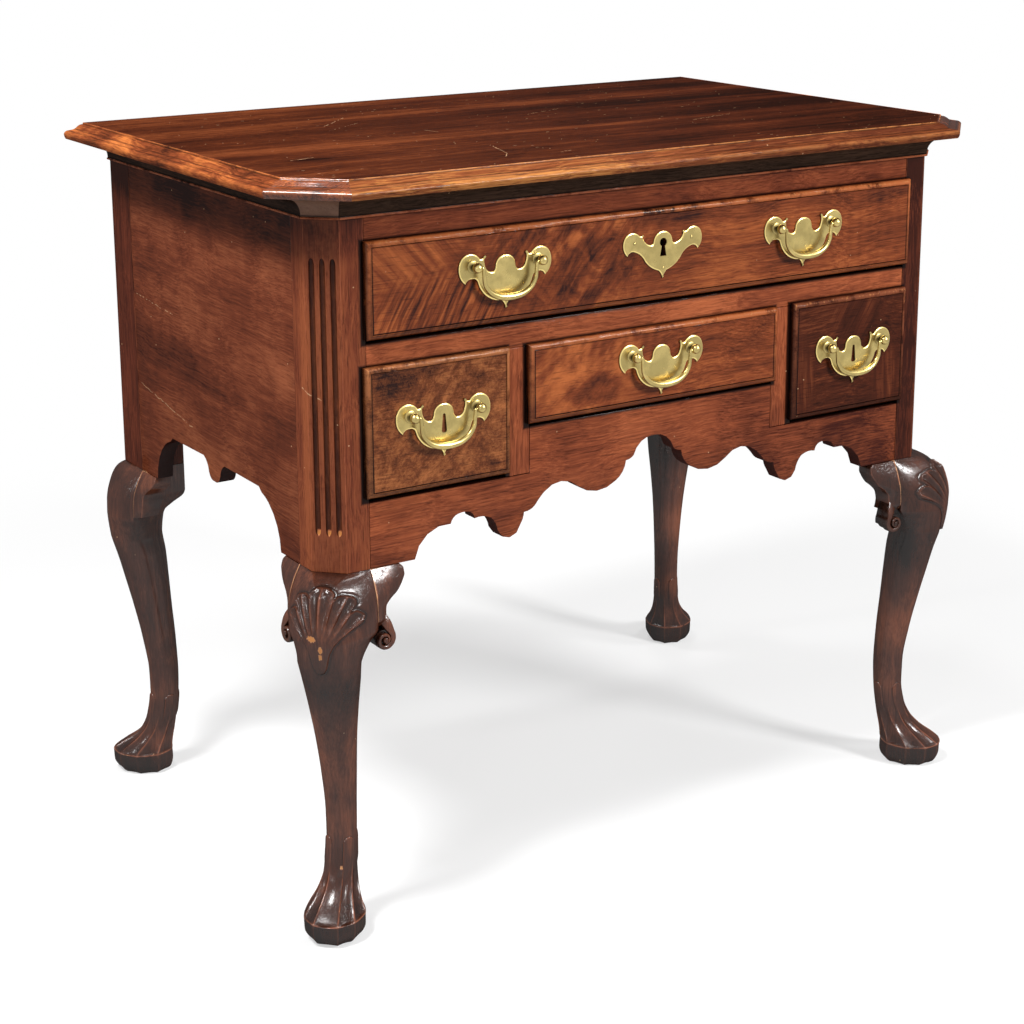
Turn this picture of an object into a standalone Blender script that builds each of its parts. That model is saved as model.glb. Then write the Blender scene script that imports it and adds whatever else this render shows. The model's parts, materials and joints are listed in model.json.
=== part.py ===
"""Walnut dressing table: a canted case on four cabriole legs, four lipped
drawers in two tiers, scalloped skirts and bat-wing brasses.

Metres, +Z up, the front faces -Y. The origin is on the floor under the middle
of the whole table.
"""
import math

import bmesh
import bpy
from mathutils import Matrix, Vector

MM = 0.001
GAP = 0.3 * MM                    # clearance between pieces that touch

# heights, from the floor up
KNEE_Z = 367.5 * MM               # the case ends and the knees begin here
SKIRT_H = 65.5 * MM               # skirt under the end drawers
END_H = 128.3 * MM                # opening of an end drawer
MIDDLE_H = 80.8 * MM              # opening of the middle drawer
MID_RAIL_H = 24.2 * MM
LONG_H = 93.5 * MM                # opening of the long drawer
TOP_RAIL_H = 48 * MM
TOP_T = 16 * MM

# widths, from one end to the other, and the depth of the case
POST = 49 * MM                    # stock of the legs, square
END_W = 152 * MM                  # opening of an end drawer
DIVIDER_W = 27.5 * MM
MIDDLE_W = 303 * MM               # opening of the middle drawer
CASE_D = 474 * MM
CANT = 24.5 * MM                  # front corners are cut back this much
BOARD = 18 * MM                   # thickness of skirts, sides and rails
DIVIDER_D = 40 * MM
BACK_BOARD = 13 * MM
BACK_SET = 1 * MM                 # back board in from the rear faces of the posts
BACK_RISE = 17.5 * MM             # its lower edge above the knees

# table top and the cove under it
TOP_LAP = 21 * MM                 # flat of the top beyond the case, front and sides
TOP_LAP_BACK = 19 * MM
TOP_CANT = 45.3 * MM              # leg of the cut front corners, at the flat
EDGE_OUT = 22 * MM                # moulded edge beyond the flat
COVE_H = 23 * MM
COVE_OUT = 18.4 * MM

# flutes in the canted corners
FLUTE_R = 2.8 * MM
FLUTE_PITCH = 10.2 * MM
FLUTE_RISE = 35.5 * MM            # their lower ends above the knees
FLUTE_DROP = 59 * MM              # their upper ends below the table top

# drawers
LIP = 7 * MM                      # lips stand this far in front of the case
FRONT_IN = 15 * MM                # fronts reach this far into the case
SIDE_T = 11 * MM
BACK_T = 12 * MM
BOTTOM_T = 7 * MM
BOTTOM_UP = 6.5 * MM              # bottoms above the lower edges of the sides
GROOVE = 4.3 * MM                 # depth of the grooves that hold the bottoms
PLAY = 1 * MM                     # beside a drawer in its opening
HEAD = 5 * MM                     # above a drawer's sides in its opening
TAIL = 8.5 * MM                   # length of the dovetails into a front
REAR_ROOM = 20 * MM               # behind a closed drawer
LEDGE = 13 * MM                   # width of the ledges that carry the drawers
LEDGE_T = 7 * MM
GUIDE_UP = 20 * MM                # guides above the ledges

# handles and key plate
POST_SPAN = 72.8 * MM             # between the posts of one handle
PLATE_T = 1.5 * MM
KEY_PLATE_T = 1.3 * MM
BALL_R = 4.4 * MM
BALL_OUT = 8.0 * MM               # ball centre in front of the plate
PIN_R = 1.2 * MM                  # pins of a bail
PIN_PLAY = 0.35 * MM
BAIL_DROP = 31.4 * MM             # belly of a bail below its pins
HANDLE_SHIFT = 2 * MM             # handles sit right of their drawers' middles
HANDLE_IN = 148 * MM              # handles of the long drawer, from its ends
HANDLE_LIFT = 15.2 * MM           # above the middles of the openings
KEY_LIFT = 11.2 * MM
LOCK = (62 * MM, 47 * MM, 11 * MM)

HEIGHT = KNEE_Z + SKIRT_H + END_H + MID_RAIL_H + LONG_H + TOP_RAIL_H + TOP_T
UNDER_TOP = HEIGHT - TOP_T
SKIRT_Z = KNEE_Z + SKIRT_H        # lower edge of the end drawers' openings
TIER_Z = SKIRT_Z + END_H          # upper edge of the lower drawers' openings
MIDDLE_Z = TIER_Z - MIDDLE_H
LONG_Z = TIER_Z + MID_RAIL_H
CASE_W = 2 * POST + 2 * END_W + 2 * DIVIDER_W + MIDDLE_W
X0 = -CASE_W / 2
DRAWER_BACK = CASE_D - BACK_BOARD - BACK_SET - REAR_ROOM

# each drawer: opening x0, x1, z0, z1; its lips beyond the opening's left, right,
# lower and upper edges (mm, a lower lip stays short of its edge); dovetails at a corner
LEFT_X = X0 + POST
MID_X = LEFT_X + END_W + DIVIDER_W
DRAWERS = {
    "long": ((LEFT_X, -LEFT_X, LONG_Z, LONG_Z + LONG_H), (1, 3, -3.5, 3), 4),
    "left": ((LEFT_X, LEFT_X + END_W, SKIRT_Z, TIER_Z), (4, 3, -4.5, 2.7), 4),
    "middle": ((MID_X, -MID_X, MIDDLE_Z, TIER_Z), (3.3, 3, -3, 1.7), 3),
    "right": ((-LEFT_X - END_W, -LEFT_X, SKIRT_Z, TIER_Z), (3.5, 2, -4.5, 2.7), 4),
}


def clear_scene():
    for obj in list(bpy.data.objects):
        bpy.data.objects.remove(obj, do_unlink=True)


def material(name, colour, roughness, metallic=0.0):
    mat = bpy.data.materials.new(name)
    mat.use_nodes = True
    shader = mat.node_tree.nodes["Principled BSDF"]
    shader.inputs["Base Color"].default_value = (*colour, 1.0)
    shader.inputs["Roughness"].default_value = roughness
    shader.inputs["Metallic"].default_value = metallic
    mat.diffuse_color = (*colour, 1.0)
    return mat


def place(name, mesh, mat, location=(0, 0, 0), turn=0.0, parent=None):
    obj = bpy.data.objects.new(name, mesh)
    bpy.context.scene.collection.objects.link(obj)
    if not mesh.materials:
        mesh.materials.append(mat)
    obj.parent = parent
    obj.location = location
    obj.rotation_euler = (0, 0, turn)
    return obj


def empty(name, location):
    obj = bpy.data.objects.new(name, None)
    bpy.context.scene.collection.objects.link(obj)
    obj.location = location
    return obj


def finish(bm, name, smooth=False):
    bmesh.ops.remove_doubles(bm, verts=bm.verts, dist=1e-6)
    bmesh.ops.recalc_face_normals(bm, faces=bm.faces)
    mesh = bpy.data.meshes.new(name)
    bm.to_mesh(mesh)
    bm.free()
    if smooth:
        mesh.shade_smooth()
        mesh.set_sharp_from_angle(angle=math.radians(35))
    return mesh


def carve(mesh, tools, operation="DIFFERENCE"):
    """The mesh with each tool mesh cut away from it, or joined to it."""
    collection = bpy.context.scene.collection
    body = bpy.data.objects.new("body", mesh)
    collection.objects.link(body)
    helpers = []
    for tool in tools:
        helper = bpy.data.objects.new("tool", tool)
        collection.objects.link(helper)
        helpers.append(helper)
        mod = body.modifiers.new("cut", "BOOLEAN")
        mod.object = helper
        mod.operation = operation
        mod.solver = "EXACT"
    bpy.context.view_layer.update()
    depsgraph = bpy.context.evaluated_depsgraph_get()
    result = bpy.data.meshes.new_from_object(body.evaluated_get(depsgraph))
    result.name = mesh.name
    for obj in [body] + helpers:
        bpy.data.objects.remove(obj, do_unlink=True)
    return result


def box(name, x, y, z):
    """A box from three (low, high) ranges."""
    bm = bmesh.new()
    size = Vector((x[1] - x[0], y[1] - y[0], z[1] - z[0]))
    middle = Vector((x[0] + x[1], y[0] + y[1], z[0] + z[1])) / 2
    matrix = Matrix.Translation(middle) @ Matrix.Diagonal((*size, 1))
    bmesh.ops.create_cube(bm, size=1.0, matrix=matrix)
    return finish(bm, name)


def prism(name, outline, axis, low, high):
    """A flat outline pushed along one axis; the outline holds the other two."""
    order = {"x": (2, 0, 1), "y": (0, 2, 1), "z": (0, 1, 2)}[axis]
    bm = bmesh.new()
    verts = []
    for a, b in outline:
        p = (a, b, low)
        verts.append(bm.verts.new((p[order[0]], p[order[1]], p[order[2]])))
    face = bm.faces.new(verts)
    step = [0.0, 0.0, 0.0]
    step["xyz".index(axis)] = high - low
    moved = bmesh.ops.extrude_face_region(bm, geom=[face])
    top = [g for g in moved["geom"] if isinstance(g, bmesh.types.BMVert)]
    bmesh.ops.translate(bm, verts=top, vec=step)
    return finish(bm, name)


def loft_faces(bm, rings):
    """Skin over closed rings; a ring of one point is an apex, other ends are capped."""
    for low, high in zip(rings, rings[1:]):
        count = max(len(low), len(high))
        for i in range(count):
            j = (i + 1) % count
            quad = [low[i % len(low)], low[j % len(low)], high[j % len(high)], high[i % len(high)]]
            bm.faces.new(list(dict.fromkeys(quad)))
    for ring in (rings[0], rings[-1]):
        if len(ring) > 2:
            bm.faces.new(ring)


def lathe(name, profile, steps, axis, spot=(0, 0, 0)):
    """A turned solid: profile of (radius, distance along the axis) from end to end."""
    along = "XYZ".index(axis)
    others = [i for i in range(3) if i != along]
    bm = bmesh.new()
    rings = []
    for radius, at in profile:
        ring = []
        for i in range(steps if radius > 0 else 1):
            a = 2 * math.pi * (i + 0.5) / steps
            p = list(spot)
            p[along] += at
            p[others[0]] += radius * math.cos(a)
            p[others[1]] += radius * math.sin(a)
            ring.append(bm.verts.new(p))
        rings.append(ring)
    loft_faces(bm, rings)
    return finish(bm, name, smooth=True)


def arc(a, b, c, steps):
    """Points on the circle through a, b and c, from a up to but without c."""
    ax, ay = a
    bx, by = b
    cx, cy = c
    d = 2 * (ax * (by - cy) + bx * (cy - ay) + cx * (ay - by))
    a2 = ax * ax + ay * ay
    b2 = bx * bx + by * by
    c2 = cx * cx + cy * cy
    ox = (a2 * (by - cy) + b2 * (cy - ay) + c2 * (ay - by)) / d
    oy = (a2 * (cx - bx) + b2 * (ax - cx) + c2 * (bx - ax)) / d
    radius = math.hypot(ax - ox, ay - oy)
    start = math.atan2(ay - oy, ax - ox)
    mid = (math.atan2(by - oy, bx - ox) - start) % (2 * math.pi)
    end = (math.atan2(cy - oy, cx - ox) - start) % (2 * math.pi)
    if mid > end:
        end -= 2 * math.pi
    turns = [start + end * i / steps for i in range(steps)]
    return [(ox + radius * math.cos(t), oy + radius * math.sin(t)) for t in turns]


def drawn(runs, scale, steps=4):
    """Outline from three-point arcs and single points, in mm, scaled to metres."""
    points = []
    for run in runs:
        points += arc(*run, steps=steps) if len(run) == 3 else [run[0]]
    return [(x * scale[0] * MM, y * scale[1] * MM) for x, y in points]


def mirrored(half, centre=0.0):
    """A half outline followed by its mirror image about x = centre."""
    other = [(2 * centre - x, y) for x, y in reversed(half) if abs(x - centre) > 1e-7]
    return half + other


# Legs. Stations down a leg, mm, drawn for stock of 49 mm with the knee's top at the
# first height: height, outer and inner edge along the diagonal from the post's axis, half
# width, and roundness (1 is the square stock, 2 is an oval) of the outer and inner side.
DRAWN_POST = 49.0
CORNER = DRAWN_POST / math.sqrt(2)
STATIONS = [
    (367.5, CORNER, -CORNER, CORNER, 1.0, 1.0),
    (363.5, 42, -CORNER, CORNER + 1.6, 1.12, 1.0),
    (353, 50, -CORNER, CORNER + 5.2, 1.25, 1.0),
    (338, 55.5, -CORNER, CORNER + 8.6, 1.36, 1.0),
    (333, 56.8, -33, CORNER + 9.1, 1.4, 1.0),
    (322, 58.2, -20, CORNER + 9.5, 1.46, 1.1),
    (312, 58, -9, CORNER + 9.2, 1.58, 1.35),
    (301, 57, -4, 37.5, 1.75, 1.6),
    (286, 54.4, -3, 31.6, 1.9, 1.85),
    (260, 46.6, -6.5, 27.6, 2, 2),
    (230, 39, -9, 23.4, 2, 2),
    (200, 31.6, -11.2, 20.0, 2, 2),
    (160, 23, -14.3, 17.1, 2, 2),
    (120, 17.3, -15.9, 15.2, 2, 2),
    (95, 17, -15, 14.9, 2, 2),
    (70, 20.7, -12.2, 15.7, 2, 2),
    (52, 29.5, -8.8, 18, 2, 2),
    (40, 41.5, -6.3, 22.4, 2, 2),
    (31, 55, -5, 28.2, 2, 2),
    (24, 64.5, -4.5, 32.4, 2, 2),
    (12, 64, -5, 31.8, 2, 2),
    (3, 59.5, -2.5, 27.8, 2, 2),
    (0, 57, -0.5, 25.6, 2, 2),
]
DRAWN_KNEE = STATIONS[0][0]
JOINT_END = 308                   # the flat joints with the brackets end here, mm
ROUND_START = 312                 # the widest line leaves the stock's corners here
ROUND_END = 301                   # and reaches the middle of the round shank
FACET_START = 50                  # the foot's facets grow from here down
SWELL_END = 318                   # brackets follow the knee's swell down to here
HOLLOW_START = 340                # brackets are hollowed behind from here down
HOLLOW_SLOPE = 0.205
RING = 16                         # a multiple of eight, for the facets of the foot
LEG_SCALE = (POST / MM / DRAWN_POST, KNEE_Z / MM / DRAWN_KNEE)


def station_at(z):
    """Station values at the drawn height z, between the listed ones."""
    for high, low in zip(STATIONS, STATIONS[1:]):
        if z >= low[0]:
            f = (high[0] - z) / (high[0] - low[0])
            return [a + (b - a) * f for a, b in zip(high, low)]
    return list(STATIONS[-1])


def leg_ring(z, cut):
    """Outline of a leg at the drawn height z round its post's axis, +X outward.

    The cut is the distance from the axis to the canted face, or none.
    """
    _, outer, inner, half, round_out, round_in = station_at(z)
    # the widest line runs from the stock's corners to the middle of the round shank
    middle = (outer + inner) / 2
    if z >= ROUND_END:
        middle = min(middle, half - CORNER + max(0.0, ROUND_START - z))
    foot = min(1.0, max(0.0, (FACET_START - z) / 18))
    ring = []
    for i in range(RING):
        t = 2 * math.pi * i / RING
        c, s = math.cos(t), math.sin(t)
        power = round_out if c > 0 else round_in
        reach = outer - middle if c > 0 else middle - inner
        # the foot is cut in flat facets that meet in eight ridges
        facet = math.cos(math.pi / 8) / math.cos((t % (math.pi / 4)) - math.pi / 8)
        k = 1 + (facet - 1) * foot
        u = middle + math.copysign(abs(c) ** (2 / power), c) * reach * k
        v = math.copysign(abs(s) ** (2 / power), s) * half * k
        if z > JOINT_END:
            v = math.copysign(min(abs(v), CORNER + u), v)
        if cut:
            fade = min(1.0, (max(0.0, DRAWN_KNEE - z) / 20) ** 0.5)
            u = min(u, cut + (outer - cut) * fade)
        ring.append((u, v))
    return ring


def leg_reach():
    """How far a foot reaches past the outer faces of its post, metres."""
    spots = [(u + v) / math.sqrt(2) for st in STATIONS for u, v in leg_ring(st[0], None)]
    return max(spots) * LEG_SCALE[0] * MM - POST / 2


Y0 = -(CASE_D + leg_reach() - TOP_LAP - EDGE_OUT) / 2
Y1 = Y0 + CASE_D
CANT_AXIS = (POST - CANT) / math.sqrt(2)   # canted face from the post's axis


def flute_tool(across):
    """A round-ended rod sunk into the canted face of a post."""
    low, high = KNEE_Z + FLUTE_RISE, UNDER_TOP - FLUTE_DROP
    ends = [(0, 0), (0.7 * FLUTE_R, 0.3 * FLUTE_R), (FLUTE_R, FLUTE_R)]
    profile = [(r, low + z) for r, z in ends] + [(r, high - z) for r, z in reversed(ends)]
    return lathe("flute", profile, 8, "Z", (CANT_AXIS + 0.3 * FLUTE_R, across, 0))


def leg_mesh(name, canted):
    cut = CANT_AXIS / MM / LEG_SCALE[0] if canted else None
    heights = []
    for high, low in zip(STATIONS, STATIONS[1:]):
        heights.append(high[0])
        if high[0] - low[0] > 25:
            heights.append((high[0] + low[0]) / 2)
    heights.append(0)
    loops = [(leg_ring(heights[0], cut), UNDER_TOP - GAP)]
    loops += [(leg_ring(z, cut), z * LEG_SCALE[1] * MM) for z in heights]
    bm = bmesh.new()
    rings = []
    for loop, z in loops:
        wide = LEG_SCALE[0] * MM
        rings.append([bm.verts.new((u * wide, v * wide, z)) for u, v in loop])
    loft_faces(bm, rings)
    mesh = finish(bm, name, smooth=True)
    if not canted:
        return mesh
    return carve(mesh, [flute_tool(v) for v in (-FLUTE_PITCH, 0, FLUTE_PITCH)])


def build_legs(mat):
    front = leg_mesh("leg_front", True)
    rear = leg_mesh("leg_rear", False)
    inset = POST / 2
    spots = {
        "leg_front_left": (front, X0 + inset, Y0 + inset, 225),
        "leg_front_right": (front, -X0 - inset, Y0 + inset, 315),
        "leg_rear_left": (rear, X0 + inset, Y1 - inset, 135),
        "leg_rear_right": (rear, -X0 - inset, Y1 - inset, 45),
    }
    for name, (mesh, x, y, turn) in spots.items():
        place(name, mesh, mat, (x, y, 0), math.radians(turn))


# Knee brackets. Rows of height, near edge and far edge from the joint, drawn in mm
# like the legs. The scroll of a front bracket curls back beside the knee.
SCROLL_ROWS = [
    (367.2, 0.3, 32.3), (363, 0.3, 35.6), (358, 0.3, 35.8), (352, 0.3, 33), (343, 0.3, 26.2),
    (336.5, 0.3, 18), (330, 0.3, 13.2), (323.5, 0.3, 12.7), (315, 0.3, 16.4), (310, 0.3, 19),
    (305, -0.8, 21.2), (300, -3, 22.3), (293.5, -2.2, 22), (289, 1.2, 19.6), (286.4, 5.4, 15.4),
]
OGEE_ROWS = [
    (367.2, 0.3, 34), (361, 0.3, 34.6), (354, 0.3, 29), (347, 0.3, 19), (341, 0.3, 13),
    (332, 0.3, 10.8), (323, 0.3, 9.8), (315, 0.3, 6.5),
]
EYE = (9.6, 298, 7, 15.4)         # of the scroll: across, height, radius, stand-out


def bracket_mesh(name, rows, scroll):
    """A bracket beside a knee: +X away from the leg, front face towards -Y."""
    wide, tall = LEG_SCALE
    bm = bmesh.new()
    rings = []
    for z, low, high in rows:
        swell = (station_at(max(z, SWELL_END))[3] - CORNER) * math.sqrt(2)
        hollow = HOLLOW_SLOPE * max(0.0, HOLLOW_START - z)
        behind = BOARD / MM / wide - GAP / MM - hollow
        ring = [(high, behind), (low, behind)]
        for f in (0, 1 / 3, 2 / 3, 1):
            ring.append((low + (high - low) * f, -swell * (1 - 0.45 * f * f)))
        z = z * tall * MM
        rings.append([bm.verts.new((x * wide * MM, y * wide * MM, z)) for x, y in ring])
    loft_faces(bm, rings)
    mesh = finish(bm, name, smooth=True)
    if not scroll:
        return mesh
    across, height, radius, out = [value * wide * MM for value in EYE]
    height = EYE[1] * tall * MM
    profile = [(0, 0), (radius, 0), (radius, -0.87 * out), (0.77 * radius, -0.95 * out), (0, -out)]
    return carve(mesh, [lathe("eye", profile, 12, "Y", (across, 0, height))], "UNION")


def other_hand(mesh):
    """The same mesh mirrored in X."""
    copy = mesh.copy()
    copy.transform(Matrix.Scale(-1, 4, (1, 0, 0)))
    copy.flip_normals()
    return copy


def build_brackets(mat):
    scroll = bracket_mesh("bracket_scroll", SCROLL_ROWS, True)
    ogee = bracket_mesh("bracket_ogee", OGEE_ROWS, False)
    scroll_back = other_hand(scroll)
    ogee_back = other_hand(ogee)
    spots = {
        "bracket_front_left": (scroll, X0 + POST, Y0, 0),
        "bracket_front_right": (scroll_back, -X0 - POST, Y0, 0),
        "bracket_side_left": (scroll_back, X0, Y0 + POST, -90),
        "bracket_side_right": (scroll, -X0, Y0 + POST, 90),
        "bracket_rear_left": (ogee, X0, Y1 - POST, -90),
        "bracket_rear_right": (ogee_back, -X0, Y1 - POST, 90),
    }
    for name, (mesh, x, y, turn) in spots.items():
        place(name, mesh, mat, (x, y, 0), math.radians(turn))


# Table top and cove.

# outward step and depth of the top's edge, mm: fillet, ovolo into a hollow, nose
TOP_EDGE = [(0, 0), (0.2, 1.3), (3.0, 1.9), (6.0, 3.3), (8.5, 5.2), (11.5, 6.5), (15.5, 7.0),
            (18.8, 7.5), (21.0, 8.8), (22.0, 10.8), (21.6, 13.2), (20.2, 16)]


def build_top(mat):
    wide = EDGE_OUT / TOP_EDGE[-3][0]
    deep = TOP_T / TOP_EDGE[-1][1]
    back = Y1 + TOP_LAP_BACK
    bm = bmesh.new()
    rings = []
    for out, down in TOP_EDGE:
        x = -X0 + TOP_LAP + out * wide
        y = Y0 - TOP_LAP - out * wide
        cant = TOP_CANT + out * wide * (2 - math.sqrt(2))
        ring = [(-x, back), (-x, y + cant), (-x + cant, y), (x - cant, y), (x, y + cant), (x, back)]
        rings.append([bm.verts.new((px, py, HEIGHT - down * deep)) for px, py in ring])
    loft_faces(bm, rings)
    place("top_board", finish(bm, "top_board"), mat)


def cove_profile():
    """Section of the cove: distance from the case, and height."""
    low = UNDER_TOP - COVE_H
    fillet = 0.11 * COVE_H
    hollow = COVE_H - 0.19 * COVE_H - fillet
    points = [(GAP, low), (0.14 * COVE_OUT, low)]
    for i in range(5):
        a = math.pi / 2 * i / 4
        out = COVE_OUT - 0.86 * COVE_OUT * math.cos(a)
        points.append((out, low + fillet + hollow * math.sin(a)))
    return points + [(COVE_OUT, UNDER_TOP - GAP), (GAP, UNDER_TOP - GAP)]


def moulding(name, path, mat):
    """A length of cove along the case; path holds point and mitre direction."""
    bm = bmesh.new()
    rings = []
    for (x, y), (mx, my) in path:
        rings.append([bm.verts.new((x + mx * out, y + my * out, z)) for out, z in cove_profile()])
    loft_faces(bm, rings)
    place(name, finish(bm, name), mat)


def build_cove(mat):
    """One length turns both cut corners and mitres with a length on each side."""
    t = math.tan(math.radians(22.5))
    turn = Y0 + CANT
    front = [((X0, turn - GAP), (-1, -t)), ((X0 + CANT, Y0), (-t, -1)),
             ((-X0 - CANT, Y0), (t, -1)), ((-X0, turn - GAP), (1, -t))]
    moulding("cove_front", front, mat)
    for side, sign in (("left", -1), ("right", 1)):
        x = -sign * X0
        moulding("cove_" + side, [((x, Y1 - GAP), (sign, 0)), ((x, turn), (sign, -t))], mat)


# Case boards.

# lower edge of the front skirt, drawn in mm from the post to the middle, above the knees
FRONT_SKIRT = [
    ((0.3, 0.3),),
    ((49, 0.3), (59.5, 20), (89.5, 28.9)),
    ((89.5, 28.9), (92.2, 34.3), (98, 37.5)),
    ((98, 37.5), (104, 38.3), (110, 37.5)),
    ((110, 37.5), (114.2, 34.5), (116, 29.5)),
    ((116, 29.5), (126, 30.1), (135, 27)),
    ((135, 27), (139.8, 20.5), (142.5, 12.5)),
    ((142.5, 12.5), (156, 2.8), (169, 14)),
    ((169, 14), (172, 19.5), (173.5, 26)),
    ((173.5, 26), (181, 27.3), (187, 31.5)),
    ((187, 31.5), (191.5, 37), (197, 42.5)),
    ((197, 42.5), (218, 50.3), (238, 41.5)),
    ((238, 41.5), (263, 32.9), (284, 40)),
    ((284, 40), (292.5, 48), (296.5, 59)),
    ((296.5, 59), (301.5, 60.1), (306, 63)),
    ((306, 63), (314.5, 75.5), (331, 80.5)),
    ((331, 80.5),),
]
# the same for a side skirt
SIDE_SKIRT = [
    ((0.3, 0.3),),
    ((41, 0.3), (47.2, 24.5), (65, 44.3)),
    ((65, 44.3), (74.2, 49.1), (84.5, 51.9)),
    ((85.5, 55.7),),
    ((163, 56.5), (170.5, 51), (174.5, 42)),
    ((174.5, 42), (179, 36.2), (188, 34.5)),
    ((188, 34.5),),
]


def skirt(runs, length):
    """Lower edge of a skirt between two posts that lie the given length apart."""
    scale = (length / 2 / MM / runs[-1][0][0], SKIRT_H / MM / 65.5)
    return mirrored(drawn(runs, scale), length / 2)


def build_skirt(mat):
    lower = [(LEFT_X + x, KNEE_Z + z) for x, z in skirt(FRONT_SKIRT, CASE_W - 2 * POST)]
    low, high = SKIRT_Z - GAP, MIDDLE_Z - GAP
    step = MID_X + GAP
    upper = [(-LEFT_X - GAP, low), (-step, low), (-step, high), (step, high), (step, low),
             (LEFT_X + GAP, low)]
    place("apron", prism("apron", lower + upper, "y", Y0, Y0 + BOARD), mat)


def build_sides(mat):
    lower = [(Y0 + POST + y, KNEE_Z + z) for y, z in skirt(SIDE_SKIRT, CASE_D - 2 * POST)]
    top = UNDER_TOP - GAP
    outline = lower + [(lower[-1][0], top), (lower[0][0], top)]
    mesh = prism("side", outline, "x", 0, BOARD)
    place("side_left", mesh, mat, (X0, 0, 0))
    place("side_right", mesh, mat, (-X0 - BOARD, 0, 0))


def build_rails(wood, second):
    across = (LEFT_X + GAP, -LEFT_X - GAP)
    top = box("top_rail", across, (Y0, Y0 + BOARD), (UNDER_TOP - TOP_RAIL_H, UNDER_TOP - GAP))
    place("top_rail", top, wood)
    place("mid_rail", box("mid_rail", across, (Y0, Y0 + POST), (TIER_Z, LONG_Z)), wood)
    size = ((0, DIVIDER_W), (0, DIVIDER_D), (SKIRT_Z, TIER_Z - GAP))
    divider = box("divider", *size)
    place("divider_left", divider, wood, (LEFT_X + END_W, Y0, 0))
    place("divider_right", divider, wood, (-LEFT_X - END_W - DIVIDER_W, Y0, 0))
    rear = Y1 - BACK_SET
    high = (KNEE_Z + BACK_RISE, UNDER_TOP - GAP)
    place("back_panel", box("back_panel", across, (rear - BACK_BOARD, rear), high), second)


def build_runners(mat):
    """Ledges under the drawers' sides, with guides beside them."""
    inner = X0 + BOARD + GAP
    guide = LEFT_X - GAP
    rear = Y1 - POST - GAP
    for tier, low, level in (("upper", TIER_Z, LONG_Z), ("lower", SKIRT_Z - LEDGE_T, SKIRT_Z)):
        section = [(inner, low), (LEFT_X + LEDGE, low), (LEFT_X + LEDGE, level), (guide, level),
                   (guide, level + GUIDE_UP), (inner, level + GUIDE_UP)]
        for side, sign in (("left", 1), ("right", -1)):
            name = "runner_" + tier + "_" + side
            outline = [(sign * x, z) for x, z in section]
            place(name, prism(name, outline, "y", Y0 + POST + GAP, rear), mat)
    # between the lower drawers each guide carries two drawers at their own heights
    near, far = LEFT_X + END_W, MID_X
    under = MIDDLE_Z - 1.5 * LEDGE_T
    section = [(near - LEDGE, SKIRT_Z - LEDGE_T), (far, SKIRT_Z - LEDGE_T), (far, under),
               (far + LEDGE, under), (far + LEDGE, MIDDLE_Z), (far, MIDDLE_Z),
               (far, MIDDLE_Z + GUIDE_UP), (near, MIDDLE_Z + GUIDE_UP), (near, SKIRT_Z),
               (near - LEDGE, SKIRT_Z)]
    ends = (Y0 + DIVIDER_D + GAP, Y1 - BACK_SET - BACK_BOARD - GAP)
    for side, sign in (("left", 1), ("right", -1)):
        outline = [(sign * x, z) for x, z in section]
        place("guide_" + side, prism("guide_" + side, outline, "y", *ends), mat)


# Drawers. Each is drawn about the middle of its opening, from the case's front back.

def tails(low, high, count):
    """Heights of the dovetails: root low, root high, tip low, tip high."""
    pitch = (high - low) / count
    splay = 0.05 * pitch
    shapes = []
    for i in range(count):
        tip_low = low + pitch * (i + 0.17)
        tip_high = low + pitch * (i + 0.83)
        shapes.append((tip_low + splay, tip_high - splay, tip_low, tip_high))
    return shapes


def sockets(x, y_tip, y_root, shapes):
    """Tools for the sockets of the tails; they run past the root to open it."""
    over = math.copysign(2 * MM, y_root - y_tip)
    tools = []
    for root_low, root_high, tip_low, tip_high in shapes:
        slope = (tip_high - root_high) / abs(y_root - y_tip) * abs(over)
        outline = [(y_tip, tip_low - GAP), (y_tip, tip_high + GAP),
                   (y_root + over, root_high - slope + GAP), (y_root + over, root_low + slope - GAP)]
        tools.append(prism("socket", outline, "x", x[0], x[1]))
    return tools


def side_board(name, z, y, tail_sets, lengths, bottom, groove_at):
    """A side with tails at both ends and a groove for the bottom on its inner face."""
    outline = [(y[0], z[0]), (y[1], z[0])]
    for root_low, root_high, tip_low, tip_high in tail_sets[1]:
        tip = y[1] + lengths[1]
        outline += [(y[1], root_low), (tip, tip_low), (tip, tip_high), (y[1], root_high)]
    outline += [(y[1], z[1]), (y[0], z[1])]
    for root_low, root_high, tip_low, tip_high in reversed(tail_sets[0]):
        tip = y[0] - lengths[0]
        outline += [(y[0], root_high), (tip, tip_high), (tip, tip_low), (y[0], root_low)]
    mesh = prism(name, outline, "x", 0, SIDE_T)
    over = 2 * BACK_T
    return carve(mesh, [box("groove", groove_at, (y[0] - over, y[1] + over), bottom)])


def front_board(name, opening, lip):
    """The drawer front: a lipped face with a thumbnail edge, and the block behind it."""
    # the moulded face: inset from the lip's edge, and share of the lip's thickness
    edge = [(0, 0.04), (0, 0.31), (0.7, 0.63), (2.4, 0.87), (4.8, 0.985), (5.6, 0.885), (6.4, 1)]
    inner = (opening[0] + PLAY, opening[1] - PLAY, lip[2] + 0.5 * MM, opening[3] - PLAY)
    loops = [(inner, FRONT_IN), (inner, -edge[0][1] * LIP)]
    for inset, share in edge:
        i = inset * MM
        loops.append(((lip[0] + i, lip[1] - i, lip[2] + i, lip[3] - i), -share * LIP))
    bm = bmesh.new()
    rings = []
    for (x0, x1, z0, z1), y in loops:
        corners = [(x0, z0), (x1, z0), (x1, z1), (x0, z1)]
        rings.append([bm.verts.new((x, y, z)) for x, z in corners])
    loft_faces(bm, rings)
    return finish(bm, name)


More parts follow.
